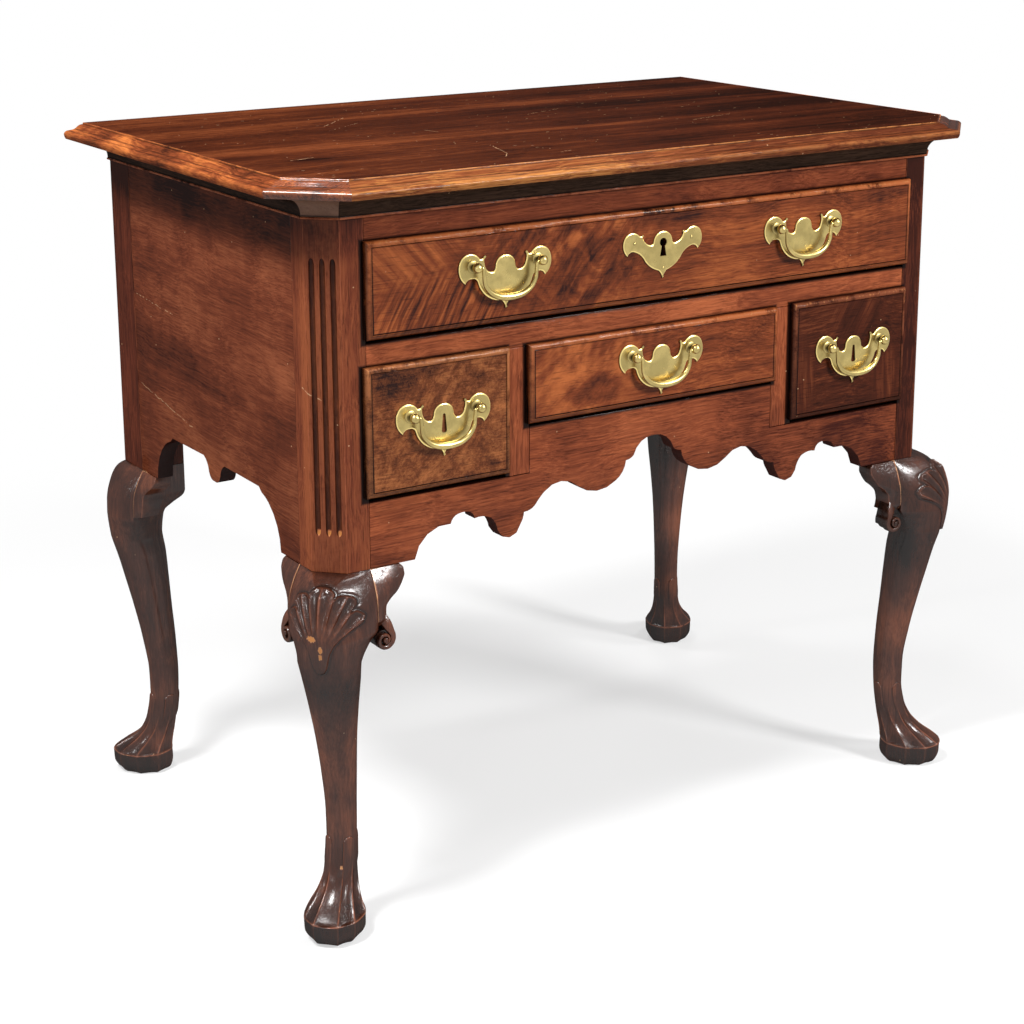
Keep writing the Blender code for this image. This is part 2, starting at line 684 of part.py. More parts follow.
def keyhole(z, radius=3.9 * MM, foot=3.1 * MM, drop=13.4 * MM):
    """Round eye above a slot that widens downwards; its eye is centred above z."""
    eye = z + 4.6 * MM
    points = []
    for i in range(11):
        a = math.radians(-62 + 304 * i / 10)
        points.append((radius * math.cos(a), eye + radius * math.sin(a)))
    return points + [(-foot, eye - drop), (foot, eye - drop)]


def build_drawer(tag, face, second):
    (ox0, ox1, oz0, oz1), lips, count = DRAWERS[tag]
    centre = (ox0 + ox1) / 2
    holder = empty("drawer_" + tag, (centre, Y0, 0))
    opening = (ox0 - centre, ox1 - centre, oz0, oz1)
    lip = (opening[0] - lips[0] * MM, opening[1] + lips[1] * MM, oz0 - lips[2] * MM, oz1 + lips[3] * MM)
    x0, x1 = opening[0] + PLAY, opening[1] - PLAY
    low, high = oz0 + GAP, oz1 - HEAD
    floor = low + BOTTOM_UP
    bottom = (floor - GAP, floor + BOTTOM_T + GAP)
    front_tails = tails(bottom[1] + MM, high - MM, count)
    back_tails = tails(bottom[1] + 2 * MM, high - 4 * MM, count)
    ends = ((x0 - SIDE_T, x0 + SIDE_T + GAP), (x1 - SIDE_T - GAP, x1 + SIDE_T))
    inside = (x0 + SIDE_T - GROOVE + GAP, x1 - SIDE_T + GROOVE - GAP)
    back = DRAWER_BACK - BACK_T
    name = "drawer_" + tag + "_"

    tools = []
    for end in ends:
        tools += sockets(end, FRONT_IN - TAIL, FRONT_IN, front_tails)
    tools.append(box("groove", inside, (FRONT_IN - GROOVE, FRONT_IN + MM), bottom))
    if tag == "long":
        hole = [(x + HANDLE_SHIFT, z) for x, z in keyhole(key_height())]
        tools.append(prism("keyhole", hole, "y", -2 * LIP, 2 * FRONT_IN))
    place(name + "front", carve(front_board(name, opening, lip), tools), face, parent=holder)

    lengths = (TAIL - GAP, BACK_T + GAP)
    for side, x, groove_at in (("left", x0, (SIDE_T - GROOVE, SIDE_T + MM)),
                               ("right", x1 - SIDE_T, (-MM, GROOVE))):
        mesh = side_board(name + side, (low, high), (FRONT_IN + GAP, back - GAP),
                          (front_tails, back_tails), lengths, bottom, groove_at)
        place(name + "side_" + side, mesh, second, (x, 0, 0), parent=holder)

    tools = []
    for end in ends:
        tools += sockets(end, DRAWER_BACK + MM, back, back_tails)
    board = box(name, (x0, x1), (back, DRAWER_BACK), (bottom[1] + GAP, high - 3 * MM))
    place(name + "back", carve(board, tools), second, parent=holder)

    size = (inside[0] + GAP, inside[1] - GAP), (FRONT_IN - GROOVE + GAP, DRAWER_BACK)
    board = box(name, *size, (floor, floor + BOTTOM_T))
    place(name + "bottom", board, second, parent=holder)
    return holder


# Brasses. Outlines are the right half, drawn in mm: of a handle plate for posts 72.8 mm
# apart and a bail that drops 31.4 mm, of the key plate for a lock 62 by 47 mm.

HANDLE_PLATE = [
    ((0, 7.8), (7.6, 5.2), (10.9, -1.5)),
    ((10.9, -1.5), (11.6, -4.8), (14, -7.2)),
    ((14, -7.2), (19.2, -6.2), (22.6, -1.8)),
    ((22.6, -1.8), (23.8, 3.5), (22.8, 9.7)),
    ((22.8, 9.7), (25.2, 7.0), (28.6, 6.4)),
    ((28.6, 6.4), (38.9, 12.3), (49.0, 7.6)),
    ((49.0, 7.6), (51.9, -3.5), (44.8, -16.2)),
    ((44.8, -16.2), (41.6, -12.6), (37.4, -11.8)),
    ((37.4, -11.8), (33.0, -12.6), (30.6, -16.4)),
    ((30.6, -16.4), (20.5, -30.5), (4.8, -35.6)),
    ((4.8, -35.6), (1.9, -38.6), (0, -44)),
    ((0, -44),),
]
KEY_PLATE = [
    ((0, 15.7), (8.2, 12.4), (11.4, 5.6)),
    ((11.4, 5.6), (12.6, 3.4), (15.1, 2.8)),
    ((15.1, 2.8), (21.0, 5.4), (24.6, 10.2)),
    ((24.6, 10.2), (24.9, 12.2), (24.3, 14.2)),
    ((24.3, 14.2), (27.0, 12.9), (29.6, 14.0)),
    ((29.6, 14.0), (37.4, 17.2), (45.6, 13.6)),
    ((45.6, 13.6), (48.4, 4.4), (43.1, -5.8)),
    ((43.1, -5.8), (39.6, -2.2), (34.4, -2.3)),
    ((34.4, -2.3), (27.2, -6.0), (21.9, -12.4)),
    ((21.9, -12.4), (15.0, -19.0), (5.0, -23.6)),
    ((5.0, -23.6), (2.0, -27.0), (0, -31.8)),
    ((0, -31.8),),
]


def key_height():
    return LONG_Z + LONG_H / 2 + KEY_LIFT


def plate_mesh(slotted):
    """A plate with its two ball-headed posts, drilled for the pins of the bail."""
    scale = (POST_SPAN / MM / 72.8, BAIL_DROP / MM / 31.4)
    outline = mirrored(drawn(HANDLE_PLATE, scale, steps=3))
    mesh = prism("plate", outline, "y", -PLATE_T, 0)
    if slotted:
        slot = keyhole(-10.4 * MM, 2.6 * MM, 2.3 * MM, 17.5 * MM)
        mesh = carve(mesh, [prism("slot", slot, "y", -2 * PLATE_T, PLATE_T)])
    # collar, neck and ball of a post
    ball = PLATE_T + BALL_OUT
    neck = 0.55 * BALL_R
    collar = 1.18 * BALL_R
    flat = 0.27 * BALL_R
    profile = [(0, PLATE_T / 2), (collar, PLATE_T / 2), (collar, 1.5 * PLATE_T), (neck, 2.6 * PLATE_T),
               (neck, ball - 0.89 * BALL_R), (BALL_R, ball - flat), (BALL_R, ball + flat),
               (0.6 * BALL_R, ball + 0.84 * BALL_R), (0, ball + BALL_R)]
    profile = [(r, -y) for r, y in profile]
    posts = []
    drills = []
    bore = PIN_R + PIN_PLAY
    for side in (-1, 1):
        x = side * POST_SPAN / 2
        posts.append(lathe("post", profile, 10, "Y", (x, 0, 0)))
        hole = [(0, 0.2 * BALL_R), (bore, 0.2 * BALL_R), (bore, -2 * BALL_R), (0, -2 * BALL_R)]
        hole = [(r, side * at) for r, at in hole]
        drills.append(lathe("drill", hole, 10, "X", (x, -ball, 0)))
    return carve(carve(mesh, posts, "UNION"), drills)


def bail_mesh():
    """The swinging bail: pins on the hinge axis, thin arms, a full belly below."""
    end = POST_SPAN / 2 - 0.14 * BALL_R
    arm = POST_SPAN / 2 - BALL_R - 2.5 * MM
    # centre line and half thickness from the pin's end to the middle of the belly; the
    # belly is given as shares of the arm's distance and of the drop
    line = [(end, 0, PIN_R), (arm + 3.9 * MM, 0, PIN_R), (arm + 1.7 * MM, -0.4 * MM, 1.5 * MM),
            (arm + 0.3 * MM, -2.2 * MM, 1.7 * MM)]
    belly = [(1.0, 0.21, 1.8), (0.976, 0.46, 2.0), (0.847, 0.70, 2.4), (0.624, 0.873, 2.9),
             (0.318, 0.975, 3.3), (0, 1, 3.5)]
    line += [(arm * a, -BAIL_DROP * b, r * MM) for a, b, r in belly]
    line += [(-x, z, r) for x, z, r in reversed(line[:-1])]
    bm = bmesh.new()
    rings = []
    for i, (x, z, r) in enumerate(line):
        behind = line[max(i - 1, 0)]
        ahead = line[min(i + 1, len(line) - 1)]
        along = Vector((ahead[0] - behind[0], 0, ahead[1] - behind[1])).normalized()
        across = Vector((-along.z, 0, along.x))
        ring = []
        for k in range(6):
            a = 2 * math.pi * (k + 0.5) / 6
            spot = Vector((x, 0, z)) + across * (r * math.sin(a)) + Vector((0, r * math.cos(a), 0))
            ring.append(bm.verts.new(spot))
        rings.append(ring)
    loft_faces(bm, rings)
    return finish(bm, "bail", smooth=True)


def handle_spots():
    """Drawer, place across it, height and slot of each handle."""
    spots = {}
    for tag, (opening, _, _) in DRAWERS.items():
        z = (opening[2] + opening[3]) / 2 + HANDLE_LIFT
        if tag == "long":
            reach = (opening[1] - opening[0]) / 2 - HANDLE_IN
            spots["long_left"] = (tag, -reach, z, False)
            spots["long_right"] = (tag, reach, z, False)
        else:
            spots[tag] = (tag, HANDLE_SHIFT, z, tag != "middle")
    return spots


def build_brasses(holders, brass, iron):
    plain = plate_mesh(False)
    slotted = plate_mesh(True)
    bail = bail_mesh()
    face = -LIP - GAP
    for tag, (drawer, x, z, slot) in handle_spots().items():
        holder = holders[drawer]
        place("plate_" + tag, slotted if slot else plain, brass, (x, face, z), parent=holder)
        place("bail_" + tag, bail, brass, (x, face - PLATE_T - BALL_OUT, z), parent=holder)
    spot = (HANDLE_SHIFT, face, key_height())
    scale = (LOCK[0] / MM / 62, LOCK[1] / MM / 47)
    plate = prism("escutcheon", mirrored(drawn(KEY_PLATE, scale, steps=3)), "y", -KEY_PLATE_T, 0)
    hole = prism("hole", keyhole(0), "y", -2 * KEY_PLATE_T, KEY_PLATE_T)
    place("escutcheon", carve(plate, [hole]), brass, spot, parent=holders["long"])
    # the lock on the inner face: its keyway is open to the keyhole, its bolt drawn in
    wide, tall, deep = LOCK
    top = 0.42 * tall
    case = box("lock", (-wide / 2, wide / 2), (0, deep), (top - tall, top))
    bolt = box("bolt", (-wide / 6, wide / 6), (deep / 4, 3 * deep / 4), (0, top + 2.5 * MM))
    case = carve(case, [bolt], "UNION")
    case = carve(case, [prism("way", keyhole(0), "y", -deep, deep / 2)])
    place("lock_case", case, iron, (HANDLE_SHIFT, FRONT_IN + GAP, key_height()), parent=holders["long"])


def main():
    clear_scene()
    walnut = material("walnut_case", (0.24, 0.078, 0.032), 0.32)
    top_wood = material("walnut_top", (0.19, 0.06, 0.027), 0.28)
    leg_wood = material("walnut_legs", (0.085, 0.03, 0.02), 0.3)
    figured = material("walnut_figured", (0.28, 0.085, 0.03), 0.28)
    second = material("poplar", (0.47, 0.33, 0.17), 0.6)
    brass = material("brass", (0.62, 0.48, 0.2), 0.3, 1.0)
    iron = material("iron", (0.12, 0.11, 0.1), 0.5, 1.0)
    build_top(top_wood)
    build_cove(top_wood)
    build_legs(leg_wood)
    build_brackets(leg_wood)
    build_skirt(walnut)
    build_sides(walnut)
    build_rails(walnut, second)
    build_runners(second)
    holders = {tag: build_drawer(tag, figured, second) for tag in DRAWERS}
    build_brasses(holders, brass, iron)


main()
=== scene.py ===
"""Looks of the walnut dressing table: camera, light, woods and brass, and the finely
shaped pieces that stand for the plain solids of the frame.

Metres, +Z up, the front faces -Y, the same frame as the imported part. Profiles, tables of
stations and reliefs are in mm.
"""

import json
import math
import re

import bmesh
import bpy
import numpy as np
from mathutils import Matrix, Vector
from mathutils.geometry import tessellate_polygon


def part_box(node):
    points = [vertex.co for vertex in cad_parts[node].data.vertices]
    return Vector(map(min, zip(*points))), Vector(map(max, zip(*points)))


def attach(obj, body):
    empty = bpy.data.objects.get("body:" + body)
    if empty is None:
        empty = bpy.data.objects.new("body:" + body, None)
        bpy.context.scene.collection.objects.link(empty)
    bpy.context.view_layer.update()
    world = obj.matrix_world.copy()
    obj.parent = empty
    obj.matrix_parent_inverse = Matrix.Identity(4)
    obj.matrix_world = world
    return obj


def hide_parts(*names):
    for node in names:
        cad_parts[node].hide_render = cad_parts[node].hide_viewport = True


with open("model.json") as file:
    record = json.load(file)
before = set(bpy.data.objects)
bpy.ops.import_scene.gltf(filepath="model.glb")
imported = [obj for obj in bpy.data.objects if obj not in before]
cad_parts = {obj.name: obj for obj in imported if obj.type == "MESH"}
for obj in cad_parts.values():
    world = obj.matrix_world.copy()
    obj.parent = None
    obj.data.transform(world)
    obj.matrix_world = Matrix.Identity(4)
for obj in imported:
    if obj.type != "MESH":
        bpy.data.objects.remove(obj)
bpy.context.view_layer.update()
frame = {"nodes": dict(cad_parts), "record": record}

MM = 0.001
NODES = frame["nodes"]
BODY_OF = {member: body for body, members in frame["record"]["behaviour"]["bodies"].items()
           for member in members}
DRAWERS = ("long", "left", "middle", "right")

# the case, from the frame's own boxes
GAP = 0.3 * MM                  # between the cove, the posts and what they meet
CASE_LEFT, CASE_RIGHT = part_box("side_left")[0].x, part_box("side_right")[1].x
CASE_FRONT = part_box("top_rail")[0].y
CASE_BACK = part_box("cove_left")[1].y + GAP
UNDER_TOP, TOP_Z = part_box("top_board")[0].z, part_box("top_board")[1].z
LONG_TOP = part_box("drawer_long_front")[1].z
FACE_Y = -0.238                 # plane of the drawer fronts
POST = 49 * MM
CANT = POST / 2                 # cut off each side of a front corner
OVERHANG, TOP_CANT = 21, 45.3   # of the top's flat beyond the case, and its cut corner, mm
FRONT = 15 * MM                 # thickness of a drawer front behind its lip


def add_object(name, data):
    made = bpy.data.objects.new(name, data)
    bpy.context.scene.collection.objects.link(made)
    return made


def add_camera():
    data = bpy.data.cameras.new("camera")
    data.sensor_width = 36
    data.lens = 74.745
    data.shift_y = -0.127
    data.clip_start = 0.05
    data.clip_end = 60
    camera = add_object("camera", data)
    yaw, pitch, roll = 0.56952, 0.24875, -0.00441
    camera.matrix_world = (
        Matrix.Translation((-1.2436, -1.90533, 1.03278)) @ Matrix.Rotation(-yaw, 4, "Z")
        @ Matrix.Rotation(math.pi / 2 - pitch, 4, "X") @ Matrix.Rotation(roll, 4, "Z"))
    bpy.context.scene.camera = camera


def add_lights():
    """Area lamps: place, aim, size in metres, power in watts."""
    for name, place, aim, size, power in (
            ("lamp_left", (-1.6, -0.5, 2.8), (-0.2, -0.1, 0.5), (0.55, 0.55), 104),
            ("lamp_right", (1.3, -2.5, 2.0), (0, 0, 0.5), (0.6, 0.6), 104),
            ("lamp_back", (1.6, 2.4, 2.2), (0, 0, 0.4), (1.0, 1.0), 16),
            ("lamp_low", (-2.3, -1.9, 1.0), (-0.2, 0, 0.35), (0.25, 0.7), 5),
            ("lamp_top", (-0.34, 0.95, 3.04), (-0.2, 0, 0.7), (0.35, 0.35), 15),
            ("lamp_rim", (1.2, -0.75, 2.6), (0, -0.25, 0.6), (0.4, 0.4), 16),
            ("lamp_side", (-2.4, 0.7, 1.15), (-0.38, -0.2, 0.33), (0.25, 0.45), 12)):
        data = bpy.data.lights.new(name, "AREA")
        data.shape = "RECTANGLE"
        data.size, data.size_y = size
        data.energy = power
        lamp = add_object(name, data)
        lamp.location = place
        lamp.rotation_euler = (Vector(aim) - Vector(place)).to_track_quat("-Z", "Y").to_euler()


class Tree:
    """Adds nodes to a tree; an input takes a socket or a plain value."""

    def __init__(self, tree):
        self.tree = tree
        tree.nodes.clear()

    def node(self, kind, ins=None, **props):
        node = self.tree.nodes.new("ShaderNode" + kind)
        for key, value in props.items():
            setattr(node, key, value)
        for key, value in (ins or {}).items():
            if isinstance(value, bpy.types.NodeSocket):
                self.tree.links.new(value, node.inputs[key])
            else:
                node.inputs[key].default_value = value
        return node

    def math(self, op, a, b=0.0, c=0.0, clamp=False):
        return self.node("Math", {0: a, 1: b, 2: c}, operation=op, use_clamp=clamp).outputs[0]

    def times(self, a, b, clamp=False):
        return self.math("MULTIPLY", a, b, clamp=clamp)

    def total(self, first, *parts):
        """The sum of a value and any products of (value, factor)."""
        for value, factor in parts:
            first = self.math("MULTIPLY_ADD", value, factor, first)
        return first

    def vector(self, op, a, b=(0, 0, 0), scale=1.0):
        node = self.node("VectorMath", {0: a, 1: b, 3: scale}, operation=op)
        return node.outputs["Value" if op in ("LENGTH", "DISTANCE", "DOT_PRODUCT") else "Vector"]

    def split(self, at):
        return self.node("SeparateXYZ", {0: at}).outputs

    def attribute(self, name):
        return self.node("Attribute", attribute_name=name).outputs["Fac"]

    def mix(self, share, a, b):
        """Colour b over colour a; a colour is a socket or three numbers."""
        a, b = ((*c, 1) if isinstance(c, tuple) else c for c in (a, b))
        return self.node("Mix", {0: share, 6: a, 7: b}, data_type="RGBA",
                         clamp_factor=True).outputs[2]

    def ramp(self, value, stops):
        """Colour ramp; stops are (place, colour)."""
        node = self.node("ValToRGB", {0: value})
        band = node.color_ramp
        while len(band.elements) < len(stops):
            band.elements.new(0.5)
        for element, (place, colour) in zip(band.elements, stops):
            element.position = place
            element.color = (*colour, 1)
        return node.outputs[0]

    def step(self, value, low, high, to_low=0.0, to_high=1.0):
        """Smooth step from low to high."""
        return self.node("MapRange", {0: value, 1: low, 2: high, 3: to_low, 4: to_high},
                         interpolation_type="SMOOTHSTEP").outputs[0]

    def noise(self, at, scale=1.0, detail=2.0, rough=0.5, bend=0.0):
        ins = {"Vector": at, "Scale": scale, "Detail": detail, "Roughness": rough,
               "Distortion": bend}
        return self.node("TexNoise", ins).outputs[0]

    def swing(self, at, *noise):
        """Noise about 0."""
        return self.math("SUBTRACT", self.noise(at, *noise), 0.5)

    def dots(self, at, scale, low, high):
        """Round dots where the distance to a random point passes from low to high."""
        cells = self.node("TexVoronoi", {"Vector": at, "Scale": scale})
        return self.step(cells.outputs["Distance"], low, high)

    def mapped(self, at, scale=(1, 1, 1), turn=(0, 0, 0)):
        return self.node("Mapping", {"Vector": at, "Scale": scale, "Rotation": turn}).outputs[0]

    def spot(self, at, centre, radii):
        """1 at the centre, falling to 0 at the radii."""
        moved = self.vector("SUBTRACT", at, centre)
        scaled = self.vector("MULTIPLY", moved, tuple(1 / r for r in radii))
        return self.step(self.vector("LENGTH", scaled), 1.0, 0.0)

    def area(self, at, x, z, wide, high):
        """A soft patch of the front's plane, with a level middle."""
        return self.times(self.spot(at, (x, FACE_Y, z), (wide, 1, high)), 1.8, clamp=True)

    def stripes(self, at, angle, pitch, wander=1.0):
        """Uneven cross stripes in the front's plane, from -1 to 1."""
        a = math.radians(angle)
        along = self.vector("DOT_PRODUCT", at, (math.cos(a), 0, math.sin(a)))
        drift = self.total(0.0, (self.noise(at, 12, 2, 0.5), 18 * wander),
                           (self.noise(at, 50, 2, 0.5), 5 * wander))
        return self.math("SINE", self.total(drift, (along, 2 * math.pi / pitch)))

    def crossed(self, tone, at, mask, share, angle, scale, gain, lift=0.0, length=0.08):
        """The tone with a share of another grain, turned by an angle, where the mask is 1."""
        turned_at = self.mapped(at, turn=(0, math.radians(angle), 0))
        grain = self.noise(self.mapped(turned_at, (1, 1, length)), scale, 4, 0.62, 0.3)
        other = self.total(0.5 + lift - 0.5 * gain, (grain, gain))
        return self.total(tone, (self.times(mask, share), self.math("SUBTRACT", other, tone)))

    def beside(self, at, low, high):
        """Distance outside a box of the front's plane, negative within it."""
        middle = tuple((a + b) / 2 for a, b in zip(low, high))
        half = tuple((b - a) / 2 for a, b in zip(low, high))
        away = self.vector("ABSOLUTE", self.vector("SUBTRACT", at, middle))
        parts = self.split(self.vector("SUBTRACT", away, half))
        return self.math("MAXIMUM", parts[0], parts[2])

    def scratch(self, at, start, end, width):
        """A thin line from start to end, 1 on the line."""
        step = Vector(end) - Vector(start)
        away = self.vector("SUBTRACT", at, start)
        share = self.vector("DOT_PRODUCT", away, tuple(step / step.length_squared))
        share = self.times(share, 1.0, clamp=True)
        nearest = self.vector("SCALE", tuple(step), scale=share)
        return self.step(self.vector("DISTANCE", away, nearest), width, 0.3 * width)

    def sawn(self, axis):
        """1 on the sawn faces of a board, those that don't look along the given axis."""
        looks = self.split(self.node("NewGeometry").outputs["True Normal"])
        return self.step(self.math("ABSOLUTE", looks[axis]), 0.6, 0.4)

    def seen(self):
        """1 for what the camera sees, also in a reflection or through glass."""
        path = self.node("LightPath").outputs
        direct = self.math("MAXIMUM", path["Is Camera Ray"], path["Is Glossy Ray"])
        return self.math("MAXIMUM", direct, path["Is Transmission Ray"])

    def glow(self, kind, strength):
        return self.node(kind, {"Color": (1, 1, 1, 1), "Strength": strength}).outputs[0]

    def either(self, share, a, b):
        """Shader b over shader a."""
        return self.node("MixShader", {0: share, 1: a, 2: b}).outputs[0]

    def shader(self, strength, distance, height, coat=None, **ins):
        """Principled shader with a bump of the given height, on the material's output."""
        bump = self.node("Bump", {"Strength": strength, "Distance": distance, "Height": height})
        ins = {key.replace("_", " "): value for key, value in ins.items()}
        if coat:
            ins.update({"Coat " + key: value for key, value in coat.items()})
            ins["Coat Normal"] = bump.outputs[0]
        shader = self.node("BsdfPrincipled", {**ins, "Normal": bump.outputs[0]})
        self.node("OutputMaterial", {"Surface": shader.outputs[0]})


def new_material(name):
    material = bpy.data.materials.new(name)
    material.use_nodes = True
    return material, Tree(material.node_tree)


# how the noise is drawn out along the grain
ALONG = {"x": (0.045, 1, 1), "y": (1, 0.045, 1), "z": (1, 1, 0.045)}
CONTRAST = 1.3
# GRIME_AND_SHADE is the near-black of grime and of painted shade in hollows and gaps
GRIME_AND_SHADE, CHIPPED, GOLDEN = (0.004, 0.002, 0.0015), (0.55, 0.33, 0.18), (0.47, 0.19, 0.05)


def walnut(name, along, dark, mid, light, seed=0.0, polish=0.03, rough=0.2, figure=None,
           marks=(), streak=1.0, fine=1.0, boxes=(), stretch=1.0, shade=0.4, specks=0.6,
           bare=(0.5, 0.2, 0.07), scuffs=0.0):
    """Polished walnut. Grain runs along one axis; figure adds stripes and tones, and for some
    pieces painted shade.

    The mesh may carry the attributes wear_and_highlight, for rubbed edges and painted
    highlights (above 2 for bare wood), and dirt_and_shade, for grime and painted shade in
    hollows. A painted shadow darkens the gaps just outside the boxes, which are the drawer fronts.
    """
    material, t = new_material(name)
    place = t.node("TexCoord").outputs["Object"]
    where = t.vector("ADD", place, (seed, seed * 0.7, seed * 1.3))

    def drawn(by):
        return t.mapped(where, tuple(by * a if a < 1 else 1 for a in ALONG[along]))

    # broad bands of heartwood, lines of growth, and fine fibres
    wander = t.noise(where, 7, 2, 0.5)
    drift = t.node("CombineXYZ", {0: wander, 1: wander, 2: wander}).outputs[0]
    bent = t.vector("ADD", drawn(stretch), t.vector("SCALE", drift, scale=0.03))
    fibre = t.noise(bent, 560, 3, 0.75)
    streak, strands, shade = CONTRAST * streak, CONTRAST * fine, CONTRAST * shade
    tone = t.total(0.5 - 0.5 * (1.5 * streak + strands + shade),
                   (t.noise(bent, 20, 3, 0.6), streak), (t.noise(bent, 130, 3, 0.65), 0.5 * streak),
                   (fibre, strands), (t.noise(where, 10, 4, 0.6), shade))
    if figure:
        tone = figure(t, place, tone)
    colour = t.ramp(tone, [(0.08, dark), (0.48, mid), (0.9, light)])
    # open pores: short dark dashes along the grain
    pores = t.step(t.noise(drawn(1.3), 800, 2, 0.6), 0.55, 0.68)
    colour = t.mix(t.times(pores, 0.62 * fine), colour, tuple(0.5 * c for c in dark))
    # rubbed edges and painted highlights, and grime and painted shade in hollows, where the mesh
    # says so
    patch = t.noise(where, 55, 4, 0.65)
    rubbed = t.attribute("wear_and_highlight")
    wear_and_highlight = t.times(rubbed, t.step(patch, 0.34, 0.58), clamp=True)
    colour = t.mix(t.times(wear_and_highlight, 0.75), colour, tuple(min(1, 1.35 * c + 0.01) for c in light))
    ragged = t.noise(t.mapped(where, (1, 1, 0.35)), 300, 3, 0.65)
    ragged = t.total(-1.6, (rubbed, 1.0), (ragged, 3.2))
    bare = t.mix(t.step(rubbed, 2.7, 3.3), bare, GOLDEN)
    colour = t.mix(t.step(ragged, 1.5, 2.1, 0.0, 0.85), colour, bare)
    dirt_and_shade = t.times(t.attribute("dirt_and_shade"), t.step(patch, 0.15, 0.6, 0.6, 1.0), clamp=True)
    # painted shadow in the gaps just outside the drawer fronts, wider below and to the left
    if boxes:
        front = t.step(t.split(place)[1], CASE_FRONT + 0.03, CASE_FRONT + 0.02)
    for low, high in boxes:
        near = t.step(t.beside(place, low, high), 0.0042, 0.0012, 0.0, 0.96)
        dirt_and_shade = t.math("MAXIMUM", dirt_and_shade, t.times(near, front))
    colour = t.mix(dirt_and_shade, colour, GRIME_AND_SHADE)
    # small pale chips and scratches
    chips = t.times(t.dots(where, 75.0, 0.07, 0.04),
                    t.step(t.noise(where, 26, 1), specks, specks + 0.06), clamp=True)
    if scuffs:
        dashes = t.dots(t.mapped(where, (0.3, 1, 1), (0, 0, 0.35)), 130.0, 0.1, 0.05)
        dashes = t.times(dashes, t.step(t.noise(where, 16, 3), scuffs, scuffs + 0.1), clamp=True)
        chips = t.math("MAXIMUM", chips, t.times(dashes, 0.7))
    if marks:
        shake = t.node("TexNoise", {"Vector": place, "Scale": 90.0}).outputs["Color"]
        shaken = t.vector("ADD", place, t.vector("SCALE", shake, scale=0.004))
        shaken = t.vector("SUBTRACT", shaken, (0.002, 0.002, 0.002))
        for start, end, width in marks:
            chips = t.math("MAXIMUM", chips, t.scratch(shaken, start, end, width))
    colour = t.mix(t.times(chips, 0.7), colour, CHIPPED)
    height = t.total(0.0, (pores, -0.6), (fibre, 0.5), (t.noise(where, 60, 3, 0.5), 1.2))
    t.shader(0.25, 0.0006, height, {"Weight": polish, "Roughness": rough, "IOR": 4.0},
             Base_Color=colour, Roughness=0.6, Specular_IOR_Level=0.0)
    return material


def long_figure(t, at, tone):
    """Feather stripes at the left, a dark fan, then plain wood with a soft flame."""
    feather = t.area(at, -0.255, 0.606, 0.11, 0.055)
    swirl = t.area(at, -0.29, 0.668, 0.08, 0.05)
    fan = t.area(at, -0.11, 0.645, 0.16, 0.085)
    mottle = t.math("SUBTRACT", t.noise(at, 40, 4, 0.62, 0.8), 0.52)
    tone = t.crossed(tone, at, swirl, 0.75, 42, 120, 1.9, 0.1)
    tone = t.crossed(tone, at, fan, 0.8, -40, 85, 1.9, -0.12, 0.2)
    tone = t.crossed(tone, at, feather, 0.8, -30, 210, 2.0, 0.03, 0.07)
    veins = t.step(t.stripes(at, -30, 0.0082, 0.7), 0.0, 1.0)
    curl = t.times(t.area(at, 0.27, 0.64, 0.08, 0.07), t.stripes(at, 0, 0.013, 0.3))
    return t.total(
        tone, (t.times(feather, veins), -0.24), (t.area(at, 0.015, LONG_TOP, 0.055, 0.007), -0.5),
        (t.times(fan, mottle), 1.3), (t.area(at, 0.092, 0.618, 0.07, 0.03), 0.12),
        (t.area(at, 0.02, 0.68, 0.07, 0.022), -0.25), (t.area(at, -0.33, 0.64, 0.03, 0.09), 0.06),
        (curl, 0.025))


def left_figure(t, at, tone):
    """Mottled crotch wood, ochre in the middle and dark round it."""
    middle = t.area(at, -0.255, 0.50, 0.11, 0.095)
    tone = t.crossed(tone, at, middle, 0.6, -34, 120, 1.5, 0.05, 0.25)
    flame = t.area(at, -0.262, 0.462, 0.06, 0.04)
    tone = t.crossed(tone, at, flame, 0.5, -55, 260, 1.5, 0.08)
    return t.total(tone, (t.swing(at, 34, 5, 0.68, 0.9), 1.25),
                   (t.swing(at, 300, 3, 0.75, 1.0), 0.8),
                   (t.area(at, -0.30, 0.552, 0.05, 0.035), -0.25))


def middle_figure(t, at, tone):
    """Orange at the left with dark clouds, plainer and redder at the right."""
    left = t.area(at, -0.10, 0.53, 0.13, 0.07)
    tone = t.crossed(tone, at, left, 0.7, -52, 60, 1.9, 0.17, 0.25)
    curl = t.times(t.area(at, -0.06, 0.555, 0.12, 0.035), t.stripes(at, -12, 0.012, 0.4))
    return t.total(tone, (t.times(left, t.swing(at, 26, 4, 0.6, 0.6)), 1.3), (curl, 0.06),
                   (t.area(at, -0.075, 0.508, 0.05, 0.02), -0.22))


def right_figure(t, at, tone):
    """Dark wood with a few orange flames."""
    for patch, angle, scale, gain, lift in (
            ((0.262, 0.542, 0.05, 0.032), -32, 110, 1.5, -0.12),
            ((0.19, 0.478, 0.022, 0.055), 4, 130, 1.1, 0.0),
            ((0.305, 0.47, 0.03, 0.05), 4, 150, 1.0, -0.05)):
        tone = t.crossed(tone, at, t.area(at, *patch), 1.0, angle, scale, gain, lift)
    return tone


def leg_tone_and_shade(t, at, tone):
    """Darker below the knee and at the ankle, redder on the shank, and painted shade on the upper
    parts of the right legs.
    """
    along, _, high = t.split(at)
    # painted shade on the upper parts of the right legs
    right = t.times(t.step(along, 0.2, 0.3), t.step(high, 0.2, 0.28))
    parts = [(right, -0.12)]
    for centre, spread, lift in ((0.262, 0.05, -0.14), (0.17, 0.05, 0.12), (0.07, 0.03, -0.12),
                                 (0.012, 0.03, -0.25), (0.345, 0.03, -0.05)):
        away = t.math("ABSOLUTE", t.math("SUBTRACT", high, centre))
        parts.append((t.step(away, spread, 0.0), lift))
    return t.total(tone, *parts, (t.swing(at, 14, 3, 0.6), 0.65))


